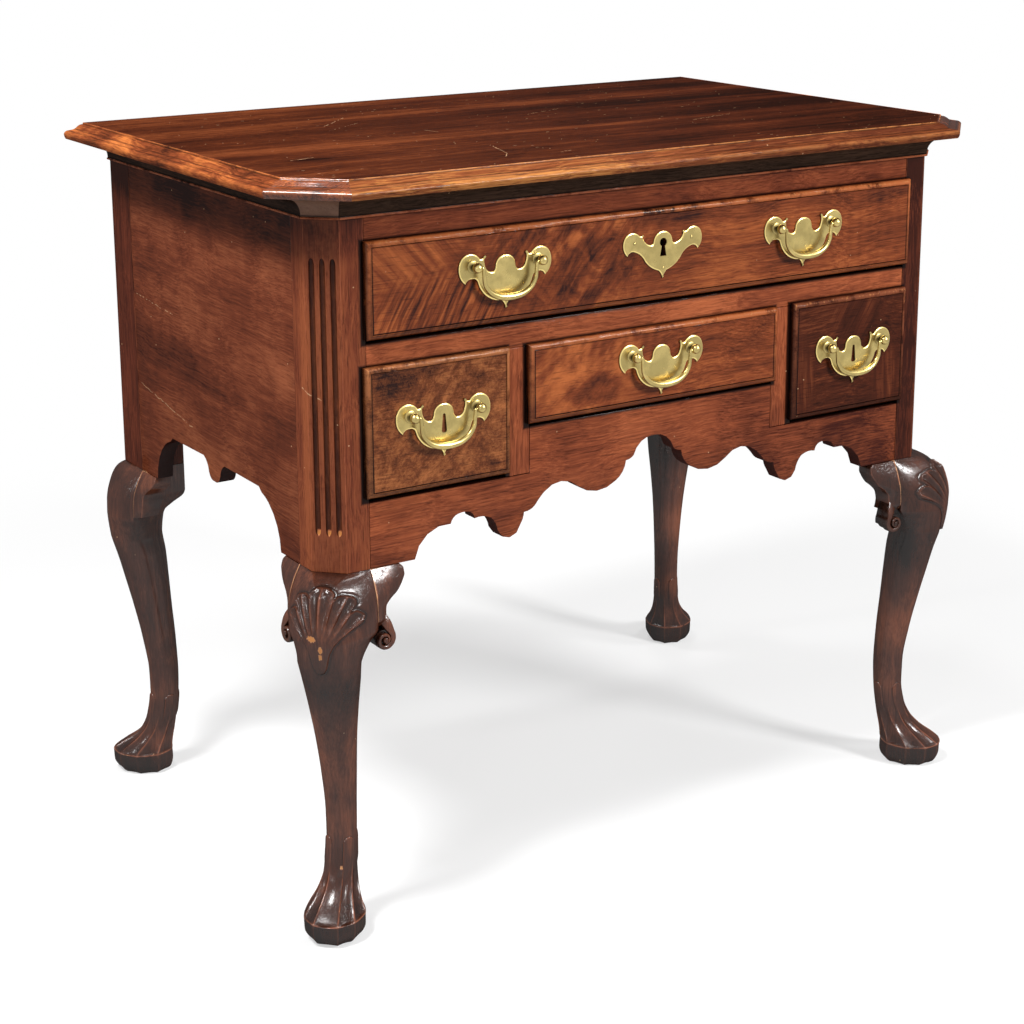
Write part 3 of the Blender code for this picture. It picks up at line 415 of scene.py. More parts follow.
def top_tone_and_shade(t, at, tone):
    """Long streaks, a knot near the front left, and darker to the right: partly darker wood, partly
    painted shade for the light falling off.
    """
    wide = t.noise(t.mapped(at, (0.05, 1, 1), (0, 0, 0.03)), 26, 3, 0.62, 0.3)
    thin = t.noise(t.mapped(at, (0.03, 1, 1), (0, 0, 0.02)), 170, 3, 0.7)
    knot = t.spot(at, (-0.325, -0.122, TOP_Z), (0.034, 0.012, 1))
    halo = t.spot(at, (-0.30, -0.118, TOP_Z), (0.10, 0.035, 1))
    # darker to the right, partly painted shade
    right = t.step(t.split(at)[0], -0.28, 0.42)
    return t.total(-0.56, (tone, 0.8), (wide, 0.95), (thin, 0.37), (knot, -0.45), (halo, -0.1),
                   (right, -0.3), (t.swing(t.mapped(at, (0.35, 1, 1)), 11, 3, 0.6), 0.5))


def edge_figure(t, at, tone):
    """Golden at the left, redder and darker to the right."""
    along = t.split(at)[0]
    return t.total(tone, (t.step(along, -0.12, 0.14), -0.4), (t.step(along, -0.2, -0.38), -0.15),
                   (t.step(along, 0.37, 0.386), -0.4))


def side_tone_and_shade(t, at, tone):
    """A painted shadow close under the top's overhang, painted shade on the sawn edges, and a
    little lighter low down.
    """
    high = t.split(at)[2]
    # painted shadow under the top, lighter low down, painted shade on the sawn edges
    return t.total(tone, (t.step(high, 0.645, 0.70), -0.48), (t.step(high, 0.5, 0.42), 0.04),
                   (t.sawn(0), -0.7))


def rail_figure(t, at, tone):
    """The middle rail is lighter than the skirt under it."""
    return t.math("ADD", tone, 0.12)


def apron_tone_and_shade(t, at, tone):
    """Darker to the right, and painted shade on the sawn edges."""
    return t.total(tone, (t.step(t.split(at)[0], 0.0, 0.3), -0.28), (t.sawn(1), -0.7))


def post_tone_and_shade(t, at, tone):
    """A knot in the right post; the right and the rear posts are darker, and a painted shadow
    darkens their tops under the cove.
    """
    along, deep, high = t.split(at)
    knot = (0.347, CASE_FRONT, 0.502)
    return t.total(
        tone, (t.step(along, 0.2, 0.3), -0.3), (t.step(deep, 0.1, 0.2), -0.36),
        # painted shadow under the cove
        (t.step(high, 0.66, 0.705), -0.5),
        (t.spot(at, (CASE_LEFT, -0.209, 0.575), (0.012, 0.009, 0.06)), 0.5),
        (t.spot(at, (CASE_LEFT, -0.202, 0.52), (0.004, 0.011, 0.19)), 0.4),
        (t.step(along, 0.0, -0.2), 0.14), (t.spot(at, knot, (0.011, 1, 0.016)), -0.35),
        (t.spot(at, knot, (0.005, 1, 0.006)), 0.3))


def poplar(name, along, shade=1.0):
    """Plain secondary wood, dry and unpolished, oxidised brown."""
    material, t = new_material(name)
    where = t.node("TexCoord").outputs["Object"]
    grain = t.mapped(where, ALONG[along])
    lines = t.noise(grain, 160, 3, 0.65)
    tone = t.total(-0.6, (t.noise(grain, 24, 3, 0.6), 0.9), (lines, 0.7),
                   (t.noise(grain, 520, 3, 0.7), 0.6))
    colour = t.ramp(tone, [(place, tuple(shade * c for c in tint)) for place, tint in (
        (0.2, (0.15, 0.062, 0.024)), (0.55, (0.27, 0.13, 0.052)), (0.9, (0.38, 0.21, 0.095)))])
    stain = t.step(t.noise(where, 6, 4, 0.6), 0.52, 0.75)
    colour = t.mix(t.times(stain, 0.5), colour, (0.11, 0.06, 0.032))
    t.shader(0.3, 0.0006, lines, Base_Color=colour, Roughness=0.72, Specular_IOR_Level=0.3)
    return material


def metal(name, base, tarnish, rough, amount):
    """Old metal, dull in its hollows, with its rims brightened, partly rubbed clean and partly a
    painted highlight.
    """
    material, t = new_material(name)
    where = t.node("TexCoord").outputs["Object"]
    cloud = t.noise(where, 120, 4, 0.6)
    colour = t.mix(t.times(t.step(cloud, 0.42, 0.7), amount), base, tarnish)
    wide = t.step(t.noise(where, 45, 2, 0.5), 0.4, 0.62, 0.0, 0.55)
    colour = t.mix(wide, colour, tuple(0.62 * c for c in base))
    # rims brightened: rubbed clean, and partly a painted highlight
    colour = t.mix(t.times(t.attribute("wear_and_highlight"), 0.85, clamp=True), colour,
                   tuple(min(1, 1.75 * c) for c in base))
    dirt_and_shade = t.attribute("dirt_and_shade")
    colour = t.mix(dirt_and_shade, colour, (0.03, 0.02, 0.008))
    roughness = t.total(rough - 0.1, (cloud, 0.22), (dirt_and_shade, 0.3))
    t.shader(0.2, 0.0004, t.total(cloud, (t.noise(where, 900, 3, 0.6), 0.25)),
             Base_Color=colour, Metallic=1.0, Roughness=roughness)
    return material


def add_stage():
    """A wide pale floor and a white room."""
    half = 14
    mesh = bpy.data.meshes.new("floor")
    mesh.from_pydata([(-half, -half, 0), (half, -half, 0), (half, half, 0), (-half, half, 0)],
                     [], [(0, 1, 2, 3)])
    floor = add_object("floor", mesh)
    material, t = new_material("floor")
    diffuse, shade = (t.node("BsdfDiffuse", {"Color": (grey, grey, grey, 1)}).outputs[0]
                      for grey in (0.33, 0.37))
    near = t.node("AddShader", {0: shade, 1: t.glow("Emission", 0.54)}).outputs[0]
    far = t.step(t.vector("LENGTH", t.node("NewGeometry").outputs["Position"]), 0.75, 1.5)
    shown = t.either(far, near, t.glow("Emission", 1.0))
    t.node("OutputMaterial", {"Surface": t.either(t.seen(), diffuse, shown)})
    mesh.materials.append(material)
    world = bpy.data.worlds.new("room")
    world.use_nodes = True
    bpy.context.scene.world = world
    t = Tree(world.node_tree)
    lit, white = (t.glow("Background", strength) for strength in (0.11, 1.0))
    t.node("OutputWorld", {"Surface": t.either(t.seen(), lit, white)})


def pchip(x, xs, ys):
    """Smooth curve through points without overshoot, xs rising."""
    x, xs, ys = (np.asarray(a, float) for a in (x, xs, ys))
    h = np.diff(xs)
    d = np.diff(ys) / h
    slope = np.zeros(len(xs))
    for i in range(1, len(xs) - 1):
        if d[i - 1] * d[i] > 0:
            w1, w2 = 2 * h[i] + h[i - 1], h[i] + 2 * h[i - 1]
            slope[i] = (w1 + w2) / (w1 / d[i - 1] + w2 / d[i])
    slope[0], slope[-1] = d[0], d[-1]
    k = np.clip(np.searchsorted(xs, x) - 1, 0, len(h) - 1)
    f = (x - xs[k]) / h[k]
    a = (1 + 2 * f) * (1 - f) ** 2 * ys[k] + f * (1 - f) ** 2 * h[k] * slope[k]
    return a + f * f * (3 - 2 * f) * ys[k + 1] + f * f * (f - 1) * h[k] * slope[k + 1]


def eased(points, steps=5, count=0):
    """The same profile with a smooth curve through its points."""
    points = np.array(points, float)
    last = len(points) - 1
    fine = np.linspace(0, last, count or last * steps + 1)
    return np.stack([pchip(fine, np.arange(last + 1), column) for column in points.T], -1)


def headings(line):
    """Unit steps along a line, in the plane of its first two columns."""
    along = np.gradient(line[:, :2], axis=0)
    return along / np.linalg.norm(along, axis=1, keepdims=True)


def smooth(x, low, high):
    """0 at low, 1 at high, smooth between."""
    f = np.clip((np.asarray(x, float) - low) / (high - low), 0, 1)
    return f * f * (3 - 2 * f)


def bell(away, width):
    """1 at 0, falling smoothly on both sides."""
    return np.exp(-(away / width) ** 2)


def circle(steps):
    return [(math.cos(2 * math.pi * i / steps), math.sin(2 * math.pi * i / steps))
            for i in range(steps)]


# A part is (points, faces, wear, grime, material index).

def shell(points, wear_and_highlight=0.0, dirt_and_shade=0.0, kind=0, caps=True):
    """A part of closed rings stacked in rows, with the two ends closed."""
    rows, columns = np.shape(points)[:2]
    faces = []
    for a in range(0, (rows - 1) * columns, columns):
        for j in range(columns):
            n = (j + 1) % columns
            faces.append((a + j, a + n, a + columns + n, a + columns + j))
    if caps:
        last = (rows - 1) * columns
        faces += [tuple(reversed(range(columns))), tuple(range(last, last + columns))]
    return points, faces, wear_and_highlight, dirt_and_shade, kind


def marked(rings, kind=0, caps=True):
    """A part from rings of (x, y, z, wear, grime)."""
    table = np.array(rings, float)
    return shell(table[..., :3], table[..., 3], table[..., 4], kind, caps)


def turning(profile, at, steps, grime_and_shade=0.0):
    """A turned part about a line along y through (x, z); profile is (radius, y)."""
    points = np.array([[(at[0] + max(r, 0.01) * c, y, at[1] + max(r, 0.01) * s)
                        for c, s in circle(steps)] for r, y in profile])
    return shell(points, 0.0, np.broadcast_to(np.reshape(grime_and_shade, (-1, 1)), points.shape[:2]))


def plate(rings, hole, grime_and_shade):
    """Parts of a flat piece: rings round its edge, two faces, and the walls of a hole."""
    rings = np.array(rings)
    parts = [marked(rings, caps=False)]
    depths = [rings[0][0][1], rings[-1][0][1]]
    for y, outline in zip(depths, (rings[0], rings[-1])):
        loops = [[Vector((p[0], p[-1], 0)) for p in loop]
                 for loop in (outline[:, :3], hole) if len(loop)]
        faces = [tuple(f) for f in tessellate_polygon(loops)]
        parts.append(([(p.x, y, p.y) for loop in loops for p in loop], faces, 0, 0, 0))
    if hole:
        walls = np.array([[(x, y, z) for x, z in hole] for y in depths])
        parts.append(shell(walls, 0, grime_and_shade, caps=False))
    return parts


def set_at(parts, place, degrees=0, mirror=1):
    """Parts drawn in mm, mirrored in x, turned about Z and moved to a place in metres."""
    c, s = math.cos(math.radians(degrees)), math.sin(math.radians(degrees))
    placed = []
    for points, *rest in parts:
        x, y, z = np.moveaxis(np.asarray(points, float) * MM, -1, 0)
        x = x * mirror
        placed.append((np.stack([place[0] + x * c - y * s, place[1] + x * s + y * c,
                                 place[2] + z], -1), *rest))
    return placed


def add_piece(name, mesh, angle, body, materials, replaces):
    mesh.shade_smooth()
    mesh.set_sharp_from_angle(angle=math.radians(angle))
    for material in materials:
        mesh.materials.append(material)
    piece = add_object(name, mesh)
    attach(piece, body)
    if replaces:
        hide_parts(*replaces)


def build(name, parts, body, materials, replaces=(), angle=35):
    """One piece from parts, with its normals outwards."""
    points, faces, wear_and_highlight, dirt_and_shade, index = [], [], [], [], []
    for spots, part_faces, part_worn, part_dirt, kind in parts:
        spots = np.asarray(spots, float).reshape(-1, 3)
        base = len(points)
        points.extend(spots.tolist())
        faces.extend(tuple(v + base for v in f) for f in part_faces)
        for values, given in ((wear_and_highlight, part_worn), (dirt_and_shade, part_dirt)):
            values.extend(np.broadcast_to(np.asarray(given, float).ravel(), len(spots)))
        index.extend(kind if isinstance(kind, list) else [kind] * len(part_faces))
    mesh = bpy.data.meshes.new(name)
    mesh.from_pydata(points, [], faces)
    mesh.polygons.foreach_set("material_index", index)
    for key, values in (("wear_and_highlight", wear_and_highlight), ("dirt_and_shade", dirt_and_shade)):
        mesh.attributes.new(key, "FLOAT", "POINT").data.foreach_set("value", values)
    bm = bmesh.new()
    bm.from_mesh(mesh)
    bmesh.ops.recalc_face_normals(bm, faces=bm.faces)
    bm.to_mesh(mesh)
    bm.free()
    add_piece(name, mesh, angle, body, materials, replaces)


CORNER = POST / MM / math.sqrt(2)       # of the square post, along its diagonal
CANT_AT = CANT / MM / math.sqrt(2)      # flat of a canted post, along the diagonal
KNEE, SHELL_FOOT, ANKLE, RIM = 367.5, 272, 112, 24      # heights of a leg
JOINT_END = 308                 # above it the leg keeps the post's square at the back
# height, outer and inner edge along the diagonal, half width, roundness out and in
STATIONS = [
    (KNEE, CORNER, -CORNER, CORNER, 1.0, 1.0), (363.5, 42, -CORNER, CORNER + 1.6, 1.12, 1.0),
    (353, 50, -CORNER, CORNER + 5.2, 1.25, 1.0), (338, 55.5, -CORNER, CORNER + 8.6, 1.36, 1.0),
    (333, 56.8, -33, CORNER + 9.1, 1.4, 1.0), (322, 58.2, -20, CORNER + 9.5, 1.46, 1.1),
    (312, 58, -9, CORNER + 9.2, 1.58, 1.35), (301, 57, -4, 37.5, 1.75, 1.6),
    (286, 54.4, -3, 31.6, 1.9, 1.85)]
STATIONS += [(*row, 2, 2) for row in (
    (260, 46.6, -6.5, 27.6), (230, 39, -9, 23.4), (200, 31.6, -11.2, 20.0),
    (160, 23, -14.3, 17.1), (120, 17.3, -15.9, 15.2), (95, 17, -15, 14.9),
    (70, 20.7, -12.2, 15.7), (52, 29.5, -8.8, 18), (40, 41.5, -6.3, 21.8), (31, 55, -5, 26.8),
    (RIM, 64.5, -4.5, 30.4), (12, 64, -5, 30), (3, 59.5, -2.5, 26), (0, 55, 1, 23))]
FOOT_RIDGES = (24, 58, 96, 138, 180)    # degrees from the toe


def station_rows(heights):
    """Station values at each height, with a crease kept at the rim of the foot."""
    table = np.array(STATIONS)[::-1].T
    at = int(np.where(table[0] == RIM)[0][0])
    return [np.where(heights > RIM, pchip(heights, table[0][at:], column[at:]),
                     pchip(heights, table[0][:at + 1], column[:at + 1])) for column in table[1:]]


# shell on a front knee, across and up
SHELL_FOCUS = 298.0
SHELL_RAYS = (11, 22, 33, 48)                   # ridges between flutes, degrees from upright
SHELL_LOBES = ((12, 62), (33, 58), (50, 50))    # end of each lobe, degrees, and its reach
SHELL_SIDE = [(34.5, 325), (26, 320), (18.5, 314), (12.8, 307.5), (9.6, 300.5), (8, 293),
              (6.5, 286), (3.6, 281), (0, 279.6)]


def mirrored(half):
    """A closed outline from its half with x of 0 or more, drawn from the top down."""
    return half + [(-x, z) for x, z in reversed(half) if x > 1e-6]


def shell_outline():
    half = []
    low = -SHELL_LOBES[0][0]
    for high, reach in SHELL_LOBES:
        for f in np.linspace(0, 1, 9):
            a = math.radians(low + (high - low) * f)
            if a >= 0:
                r = reach * (1 - 0.07 * (2 * f - 1) ** 4)
                half.append((r * math.sin(a), SHELL_FOCUS + r * math.cos(a)))
        low = high
    return mirrored(half + SHELL_SIDE)


def outline_distance(x, z, outline):
    """Signed distance to a closed outline, positive inside."""
    best = np.full(x.shape, 1e9)
    inside = np.zeros(x.shape, bool)
    for (x0, z0), (x1, z1) in zip(outline, outline[1:] + outline[:1]):
        dx, dz = x1 - x0, z1 - z0
        length = dx * dx + dz * dz
        if length < 1e-12:
            continue
        f = np.clip(((x - x0) * dx + (z - z0) * dz) / length, 0, 1)
        best = np.minimum(best, np.hypot(x - x0 - f * dx, z - z0 - f * dz))
        if dz:
            inside ^= ((z0 > z) != (z1 > z)) & (x < dx * (z - z0) / dz + x0)
    return np.where(inside, best, -best)


def shell_relief(across, height):
    """Relief, wear_and_glint and grime_and_shade of the carved shell, with painted highlights on
    its ridges and painted shade in its flutes.
    """
    distance = outline_distance(across, height, shell_outline())
    angle = np.degrees(np.arctan2(np.abs(across), height - SHELL_FOCUS))
    radius = np.hypot(across, height - SHELL_FOCUS)
    degree = radius / 57.3      # mm along one degree
    depth = np.zeros_like(radius)
    ridge = bell(angle * degree, 0.8)
    low = 0
    for high in SHELL_RAYS:
        f = (angle - low) / (high - low)
        depth = np.where((f >= 0) & (f < 1), -2.2 * (1 - (2 * f - 1) ** 2), depth)
        ridge = np.maximum(ridge, bell((angle - high) * degree, 0.8))
        low = high
    reach = smooth(radius, 14, 40) * smooth(distance, 0.0, 3.0)
    reach = np.where((angle < SHELL_RAYS[-1]) & (distance > 0), reach, 0)
    relief = 2.2 * smooth(distance, -0.2, 1.3) - 0.5 * bell(distance + 1.4, 1.2)
    return (relief + (depth + 0.6 * ridge) * reach,
            0.8 * ridge * reach + 0.2 * bell(distance - 0.8, 0.7),
            0.85 * bell(distance + 1.1, 1.0) - 0.22 * depth * reach)


def foot_relief(angle, height):
    """Relief, wear_and_glint and grime_and_shade of the stocking and the ridged foot, with painted
    highlights on the ridges and the rim.
    """
    a = np.abs(angle)
    bowl, ridge = np.zeros_like(a), np.zeros_like(a)
    for low, high in zip((-FOOT_RIDGES[0],) + FOOT_RIDGES, FOOT_RIDGES):
        f = (a - low) / (high - low)
        bowl = np.where((f >= 0) & (f <= 1), 1 - (2 * f - 1) ** 2, bowl)
        ridge = np.maximum(ridge, bell(a - high, 1.3))
    slope = smooth(height, 23, 27) * (1 - smooth(height, 48, 74))
    pad = 1 - smooth(height, 22, 25)
    relief = -bowl * (2.5 * slope + 1.3 * pad) + 0.6 * ridge * slope
    wear_and_highlight = ridge * (1.35 * slope + 0.4 * pad) + 1.5 * bell(height - RIM, 0.7)
    dirt_and_shade = 0.35 * bowl * slope * smooth(height, 48, 30) + 0.35 * pad
    line = smooth(height, 60, 80)
    # raised tongues of the stocking, 22 degrees to each side of their middles, with a painted
    # shadow just outside their edges and a painted highlight just inside
    for centre in (45, 135):
        s = np.clip((a - centre) / 22, -1, 1)
        top = 95 - 7 * (1 - np.sqrt(1 - s * s))
        inside = np.minimum((22 - np.abs(a - centre)) * 0.27, top - height)
        relief = relief + 1.15 * smooth(inside, -0.3, 0.45) * smooth(height, 52, 72)
        dirt_and_shade = dirt_and_shade + 0.6 * bell(inside + 0.75, 0.5) * line
        wear_and_highlight = wear_and_highlight + 0.4 * bell(inside - 0.35, 0.35) * line
    return relief, wear_and_highlight, dirt_and_shade


def worn_spot(x, z, spot, size):
    """A spot of rubbed wood with a ragged edge, 1 inside."""
    level = bell(x - spot[0], size[0]) * bell(z - spot[1], size[1])
    return smooth(level + 0.16 * np.sin(2.1 * x + 1) * np.sin(1.3 * z), 0.3, 0.42)


def leg_part(front):
    """A leg below its post, x outwards along the diagonal."""
    knee = np.arange(KNEE, SHELL_FOOT, -0.75 if front else -2.5)
    # closer heights where the shell, the stocking's points and the rim need them
    z = np.concatenate([
        knee, np.arange(knee[-1] - 3, ANKLE, -4.0), np.arange(111, 98, -2.0),
        np.arange(97, 84, -0.5), np.arange(83, 56, -1.6), np.arange(55.5, 26, -1.2),
        [25.2, 24.6, 24.2, 23.7, 22.8], np.arange(20.5, 4, -2.2), [3, 2, 1.1, 0.4, 0]])
    outer, inner, half, round_out, round_in = (r[:, None] for r in station_rows(z))
    s = np.linspace(0, 2 * math.pi, 208 if front else 144, endpoint=False)[None, :]
    s = s - (0.4 if front else 0.0) * np.sin(s)
    c, n = np.cos(s), np.sin(s)
    z = z[:, None] * np.ones_like(c)
    # the inner half keeps to the post's square above the widest part of the knee
    middle = np.minimum((outer + inner) / 2, half - CORNER + np.maximum(0, 312 - z))
    power = 2 / np.where(c > 0, round_out, round_in)
    reach = np.where(c > 0, outer - middle, middle - inner)
    u = middle + np.sign(c) * np.abs(c) ** power * reach
    v = np.sign(n) * np.abs(n) ** power * half
    v = np.where(z > JOINT_END, np.sign(v) * np.minimum(np.abs(v), CORNER + u), v)
    if front:       # the knee swells out of the cant within 14 mm
        fade = np.minimum(1, (np.maximum(0, KNEE - z) / 14) ** 0.5)
        u = np.minimum(u, CANT_AT + (outer - CANT_AT) * fade)
    spots = np.stack([u, v, z], -1)
    round_step = np.roll(spots, -1, 1) - np.roll(spots, 1, 1)
    normal = np.cross(round_step, -np.gradient(spots, axis=0))
    normal /= np.maximum(np.linalg.norm(normal, axis=-1, keepdims=True), 1e-9)
    marks = [np.where(z < ANKLE, a, 0)
             for a in foot_relief(np.degrees(np.arctan2(n, c)) * np.ones_like(u), z)]
    if front:
        carved = (c > 0) & (z > SHELL_FOOT)
        marks = [a + np.where(carved, b, 0) for a, b in zip(marks, shell_relief(v, z))]
    relief, wear_and_highlight, dirt_and_shade = marks
    spots = spots + normal * np.where(z > 365, 0.0, relief)[..., None]
    return shell(spots, wear_and_highlight, dirt_and_shade + 0.5 * bell(z - KNEE, 1.2))


def post_part(canted):
    """A corner post above the knee: bevelled arrises and, if canted, three flutes."""
    high = (UNDER_TOP - GAP) / MM
    start, stop = KNEE + 35.5, high - 58.7      # ends of the flutes
    heights = [KNEE, KNEE + 0.5, high]
    if canted:
        ends = np.linspace(0, 7, 8)
        heights[2:2] = [*(start + ends), *(stop - ends[::-1])]
    k, soft, drawn_in = math.sqrt(0.5), 0.6, 0.9972     # the rubbed arrises
    rings = []
    for z in heights:
        ring = []

        def corner(u, v, before, after):
            sides = [(u + soft * du, v + soft * dv, z, 0, 0) for du, dv in (before, after)]
            ring.extend((sides[0], (drawn_in * u, drawn_in * v, z, 0.9, 0), sides[1]))

        trim = 0.5 if z == KNEE else 0.0
        c = CORNER - trim * math.sqrt(2)
        if canted:
            cut, away = CANT_AT - trim, min(z - start, stop - z)
            side = c - cut
            # how far a flute is open; painted shade inside a flute, deepest along its middle and at
            # its ends; and a painted highlight, kept in rubbed, at its foot
            wide = 0.02
            if away >= 0:
                wide = max(wide, math.sqrt(1 - max(0.0, 1 - away / 7) ** 2))
            end = max(0.0, 1 - away / 14)
            rubbed = 4.5 * max(0.0, 1 - abs(z - start - 3) / 4)
            corner(cut, -side, (-k, -k), (0, 1))
            for at in (-10.2, 0, 10.2):
                for i in range(9):
                    a = math.radians(22.5 * i - 90)
                    foot = rubbed * (3 <= i <= 6)
                    grime_and_shade = 0.2 - min(0.2, foot)
                    if 0 < i < 8 and foot == 0:
                        grime_and_shade = min(1.0, (0.12 + 0.3 * math.cos(a)) * wide + 0.6 * end)
                    ring.append((cut - 2.5 * math.cos(a) * wide, at + 2.9 * math.sin(a) * wide, z,
                                 0.4 if i in (0, 8) else foot, grime_and_shade))
            corner(cut, side, (0, -1), (-k, k))
        else:
            corner(c, 0, (-k, -k), (-k, k))
        corner(0, c, (k, -k), (-k, -k))
        corner(-c, 0, (k, k), (k, -k))
        corner(0, -c, (-k, k), (k, k))
        rings.append(ring)
    return marked(rings, 1)


def add_legs(woods):
    inset = POST / 2
    for front, y, turns in ((True, CASE_FRONT + inset, (225, 315)),
                            (False, CASE_BACK - inset, (135, 45))):
        leg, post = leg_part(front), post_part(front)
        for side, x, turn in zip(("left", "right"), (CASE_LEFT + inset, CASE_RIGHT - inset), turns):
            name = "leg_" + ("front_" if front else "rear_") + side
            spots, faces, wear_and_highlight, dirt_and_shade, kind = leg
            if name == "leg_front_left":
                for gain, spot, size in ((5, (-7, 316), (4.0, 2.6)), (5, (2, 306), (1.8, 3.4)),
                                         (5, (1.6, 298.5), (1.5, 2.8)), (3, (5, 66), (1.6, 1.6))):
                    spread = worn_spot(spots[..., 1], spots[..., 2], spot, size)
                    wear_and_highlight = wear_and_highlight + gain * (spots[..., 0] > 10) * spread
            parts = set_at([(spots, faces, wear_and_highlight, dirt_and_shade, kind), post], (x, y, 0), turn)
            build("wood_" + name, parts, "carcase", [woods["leg"], woods["post"]],
                  (name,))


# height of a bracket's section and how far it reaches from the leg
SCROLL_ROWS = [(367.2, 32.3), (363, 35.6), (358, 35.8), (352, 33), (343, 26.2), (336.5, 18),
               (330, 13.2), (323.5, 12.7), (318, 14.2), (313, 16.6)]
OGEE_ROWS = [(367.2, 34), (361, 34.6), (354, 29), (347, 19), (341, 13), (332, 10.8), (323, 9.8),
             (315, 6.5)]


def bracket_plate(rows):
    """The flat part of a bracket, x away from the leg and the front towards -y."""
    heights = np.arange(rows[0][0], rows[-1][0] - 0.01, -1.2)
    swell = (station_rows(np.maximum(heights, 318))[2] - CORNER) * math.sqrt(2)
    if rows is SCROLL_ROWS:
        swell = swell * (1 - 0.35 * smooth(heights, 320, 312))
    near = GAP / MM
    rings = []
    for z, reach, out in zip(heights, pchip(heights, *np.array(rows)[::-1].T), swell):
        behind = 17.7 - 0.205 * max(0.0, 340 - z)
        ring = [(reach, behind, z, 0, 0.3), (near, behind, z, 0, 0.3)]
        for f in np.linspace(0, 1, 15):
            ring.append((near + (reach - near - 1.3) * f, -out * (1 - 0.45 * f * f), z,
                         0 if f else 2.6, 0))
        for angle, wear_and_glint in ((30, 0.5), (60, 0.5), (90, 0.2)):
            r = math.radians(angle)
            ring.append((reach - 1.3 + 1.3 * math.sin(r), -out * 0.55 + 1.3 * (1 - math.cos(r)),
                         z, wear_and_glint, 0))
        rings.append(ring)
    return marked(rings)


def scroll_parts():
    """The volute at the foot of a bracket: a ribbon that curls in to its eye."""
    eye = (7.4, 299.0)
    # across, height, half width and front of the ribbon
    line = [(6.4, 328, 4.4, -6.4), (7.6, 321, 5.2, -8.6), (11.4, 313.5, 5.0, -11.8)]
    for f in np.arange(27) / 26:
        a, r = math.radians(42 - 504 * f), 10.2 - 7.5 * f ** 0.8
        line.append((eye[0] + r * math.cos(a), eye[1] + r * math.sin(a), 3.4 - 2.3 * f ** 0.6,
                     -13.6 - 1.8 * f))
    line = eased(line, count=110)
    # share of the half width, step back from the front, wear and grime
    half = [(-1, None, 0, 0.9), (-1, 2.6, 0, 0.55), (-0.86, 1.0, 0.25, 0.1), (-0.5, 0.2, 0.2, 0)]
    section = half + [(0, 0, 0.15, 0)] + [(-share, *rest) for share, *rest in reversed(half)]
    rings = []
    for (x, z, half, front), (dx, dz) in zip(line, headings(line)):
        back = -5.0 if math.hypot(x - eye[0], z - eye[1]) < 9 else 6.0
        rings.append([(x - dz * half * share, back if down is None else front + down,
                       z + dx * half * share, wear_and_glint, grime_and_shade) for share, down, wear_and_glint, grime_and_shade in section])
    # the sunk ground between the turns, and the eye
    ground = [(9.2, 5.0), (9.2, -6.74), (9.2, -9.5)]
    knob = [(2.5, -9.0), (2.5, -14.85)] + [(2.5 * math.cos(a), -14.85 - 0.75 * math.sin(a))
                                           for a in np.linspace(0.3, 1.5, 5)]
    return [marked(rings), turning(ground, eye, 24, 0.85), turning(knob, eye, 24)]


def add_brackets(woods):
    scroll = [bracket_plate(SCROLL_ROWS)] + scroll_parts()
    ogee = [bracket_plate(OGEE_ROWS)]
    for name, parts, mirror, x, y, turn in (
            ("bracket_front_left", scroll, 1, CASE_LEFT + POST, CASE_FRONT, 0),
            ("bracket_front_right", scroll, -1, CASE_RIGHT - POST, CASE_FRONT, 0),
            ("bracket_side_left", scroll, -1, CASE_LEFT, CASE_FRONT + POST, -90),
            ("bracket_side_right", scroll, 1, CASE_RIGHT, CASE_FRONT + POST, 90),
            ("bracket_rear_left", ogee, 1, CASE_LEFT, CASE_BACK - POST, -90),
            ("bracket_rear_right", ogee, -1, CASE_RIGHT, CASE_BACK - POST, 90)):
        build("wood_" + name, set_at(parts, (x, y, 0), turn, mirror), "carcase",
              [woods["leg"]], (name,))


def add_top(woods):
    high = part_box("top_board")[1]
    # outward step, depth, wear and grime from the flat over the edge
    profile = [(-2.0, 0, 0, 0), (-0.6, 0, 0.2, 0), (-0.2, 0, 1.5, 0), (0, 0.25, 0.6, 0),
               (0.25, 1.2, 0.2, 0.5), (0.5, 1.55, 0, 0.7)]
    profile += eased([
        (0.9, 1.6, 0.1, 0.3), (3.0, 1.9, 0, 0), (6.0, 3.3, 0, 0), (8.5, 5.2, 0, 0),
        (10.0, 6.0, 0, 0.6), (11.5, 6.5, 0, 0.1), (15.5, 7.0, 0, 0), (17.6, 7.2, 0, 0.6),
        (18.8, 7.5, 0, 0), (21.0, 8.8, 0.25, 0), (22.0, 10.8, 0.15, 0), (21.6, 13.2, 0, 0),
        (20.2, 16, 0.1, 0)]).tolist()
    rings = []
    for out, down, wear_and_glint, grime_and_shade in profile:
        x, y = CASE_RIGHT + (OVERHANG + out) * MM, CASE_FRONT - (OVERHANG + out) * MM
        z = high.z - down * MM
        cant = (TOP_CANT + out * (2 - math.sqrt(2))) * MM
        rings.append([(px, py, z, wear_and_glint if py < high.y else 0.3 * wear_and_glint, grime_and_shade) for px, py in (
            (-x, high.y), (-x, y + cant), (-x + cant, y), (x - cant, y), (x, y + cant),
            (x, high.y))])
    kinds = [2, 3, 1, 3, 2, 0] * (len(rings) - 1) + [0, 0]
    build("wood_top_board", [marked(rings, kinds)], "carcase",
          [woods[k] for k in ("top", "edge_x", "edge_y", "edge_cant")], ("top_board",), 30)


